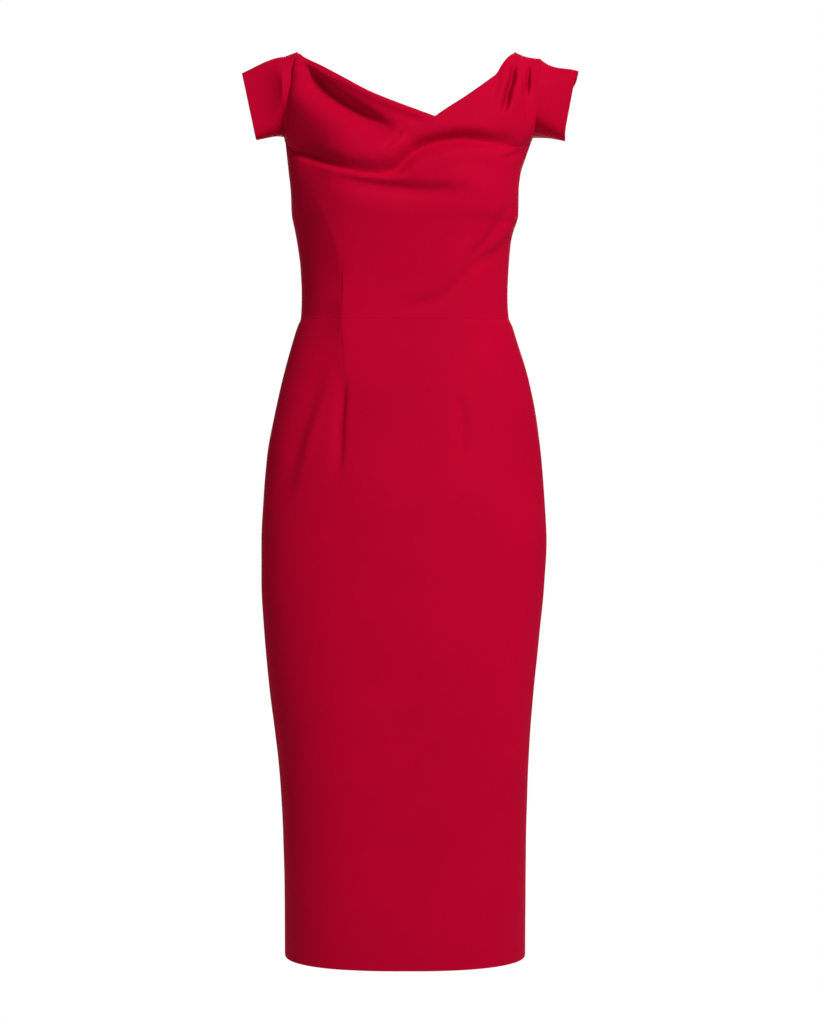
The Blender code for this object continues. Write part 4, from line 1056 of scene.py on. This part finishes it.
def add_zip(shells, thread):
    """The coil on the inside of the zip's tapes, and the stitches that hold the tapes."""
    at = centre_back(shells)
    turns = (ZIP_TOP - ZIP_END) / COIL_PITCH
    angle = 2 * math.pi * np.linspace(0, turns, int(turns * COIL_STEPS))
    spots, out = at(ZIP_END + angle / (2 * math.pi) * COIL_PITCH)
    sink = TAPE_DEPTH + COIL_DEPTH + COIL_RADIUS
    coil = spots - out * (sink + COIL_DEPTH * np.sin(angle))[:, None]
    coil[:, 0] += COIL_HALF * np.cos(angle)
    add_threads("zip_coil", [coil], COIL_RADIUS, COIL_SIDES, thread)

    heights = np.arange(ZIP_END + TAPE_STITCH, ZIP_TOP - TAPE_STITCH, TAPE_SPACING)
    low, out = at(heights)
    high, _ = at(heights + TAPE_STITCH)
    lines = []
    for side in (-1, 1):
        for start, end, way in zip(low, high, out):
            move = (side * TAPE_SEWN_AT, 0, 0) - way * TAPE_DEPTH
            lines.append(stitch(start + move, end + move, -way, 2 * STITCH_RADIUS))
    add_threads("zip_stitches", lines, STITCH_RADIUS, STITCH_SIDES, thread)


def add_hem_stitches(shells, thread):
    """The slanting stitches on the inside that hold the turned-up hem."""
    lines = []
    for name in ("skirt_front", "skirt_back_left", "skirt_back_right"):
        shell = shells[name]
        row = int(np.argmin(abs(shell.grid[:, 0, 2] - HEM - HEM_TURN)))
        low = shell.grid[row] - shell.normals[row] * (CLOTH + HEM_EXTRA / 2)
        length = lengths_along(low)
        for place in np.arange(HEM_SPACING / 2, length[-1] - HEM_STITCH, HEM_SPACING):
            half = HEM_STITCH / 2
            start = between(place, length, low) - (0, 0, half)
            end = between(place + half, length, low) + (0, 0, half)
            inwards = -between(place, length, shell.normals[row])
            lines.append(stitch(start, end, inwards, HEM_EXTRA))
    add_threads("hem_stitches", lines, STITCH_RADIUS, STITCH_SIDES, thread)


def dress_up_zip():
    """The zip's own solids stay, with their materials."""
    tape = ribbed_material("twill_tape", TAPE_RED, roughness=0.8, scale=260, sheen=0.15)
    lacquer = lacquer_material()
    looks = {"zip_tape_left": tape, "zip_tape_right": tape}
    looks.update({"zip_slider": lacquer, "zip_pull_tab": lacquer})
    for name, material in looks.items():
        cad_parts[name].material_slots[0].material = material


# ---- stage

FLOOR_HEIGHT, FLOOR_HALF = -1.39, 6.0  # metres: where a wearer of this size would stand
CAMERA_AT = (0.004, -2.8, -0.532)
CAMERA_LENS, SENSOR = 84.9, 36.0
AROUND = 0.22  # strength of the light from all around


def aimed_at(thing, target):
    """Turns a lamp or the camera so that it looks at a point."""
    way = np.array(target) - np.array(thing.location)
    level = math.hypot(way[0], way[1])
    tilt, swing = math.atan2(way[2], level), math.atan2(-way[0], way[1])
    thing.rotation_euler = (math.pi / 2 + tilt, 0, swing)


def area_light(name, place, target, size, power):
    lamp = bpy.data.lights.new(name, "AREA")
    lamp.shape = "RECTANGLE"
    lamp.size, lamp.size_y = size
    lamp.energy = power
    thing = bpy.data.objects.new(name, lamp)
    thing.location = place
    aimed_at(thing, target)
    bpy.context.collection.objects.link(thing)


def show_camera(tree, lit_by, seen, output):
    """The camera sees one shader, and all other rays meet another."""
    ray = add_node(tree, "LightPath").outputs["Is Camera Ray"]
    mix = add_node(tree, "MixShader", links={0: ray, 1: lit_by.outputs[0], 2: seen.outputs[0]})
    tree.links.new(mix.outputs[0], tree.nodes[output].inputs["Surface"])


def add_stage():
    camera = bpy.data.objects.new("camera", bpy.data.cameras.new("camera"))
    camera.data.lens, camera.data.sensor_width = CAMERA_LENS, SENSOR
    camera.location = CAMERA_AT
    camera.rotation_euler = (math.pi / 2, 0, 0)
    bpy.context.collection.objects.link(camera)
    scene = bpy.context.scene
    scene.camera = camera
    scene.view_settings.view_transform = "Standard"

    values = {"Roughness": 0.9, "Specular IOR Level": 0.1}
    floor_white, tree, shader, _ = new_material("floor_white", (0.9, 0.9, 0.9), values)
    show_camera(tree, shader, add_node(tree, "Emission"), "Material Output")
    corners = ((-1, -1), (1, -1), (1, 1), (-1, 1))
    points = np.array([(x * FLOOR_HALF, y * FLOOR_HALF, FLOOR_HEIGHT) for x, y in corners])
    mesh_object("floor", points, np.array([[0, 1, 2, 3]]), floor_white)

    world = bpy.data.worlds.new("studio")
    scene.world = world
    world.use_nodes = True
    tree = world.node_tree
    around, white = tree.nodes["Background"], (1, 1, 1, 1)
    set_inputs(around, {"Color": white, "Strength": AROUND})
    seen = add_node(tree, "Background", {"Color": white, "Strength": 1})
    show_camera(tree, around, seen, "World Output")

    area_light("key", (0.98, -1.98, 1.28), target=(0, 0, -0.35), size=(0.7, 0.7), power=64)
    area_light("back_fill", (0, 3, 0.5), target=(0, 0, -0.5), size=(2, 2.2), power=55)


cloth = {shell.name: shell for shell in cloth_shells()}
add_cloth(cloth.values())
polyester = ribbed_material("polyester_thread", THREAD_RED, roughness=0.5, scale=700, sheen=0)
add_zip(cloth, polyester)
add_hem_stitches(cloth, polyester)
dress_up_zip()
add_stage()
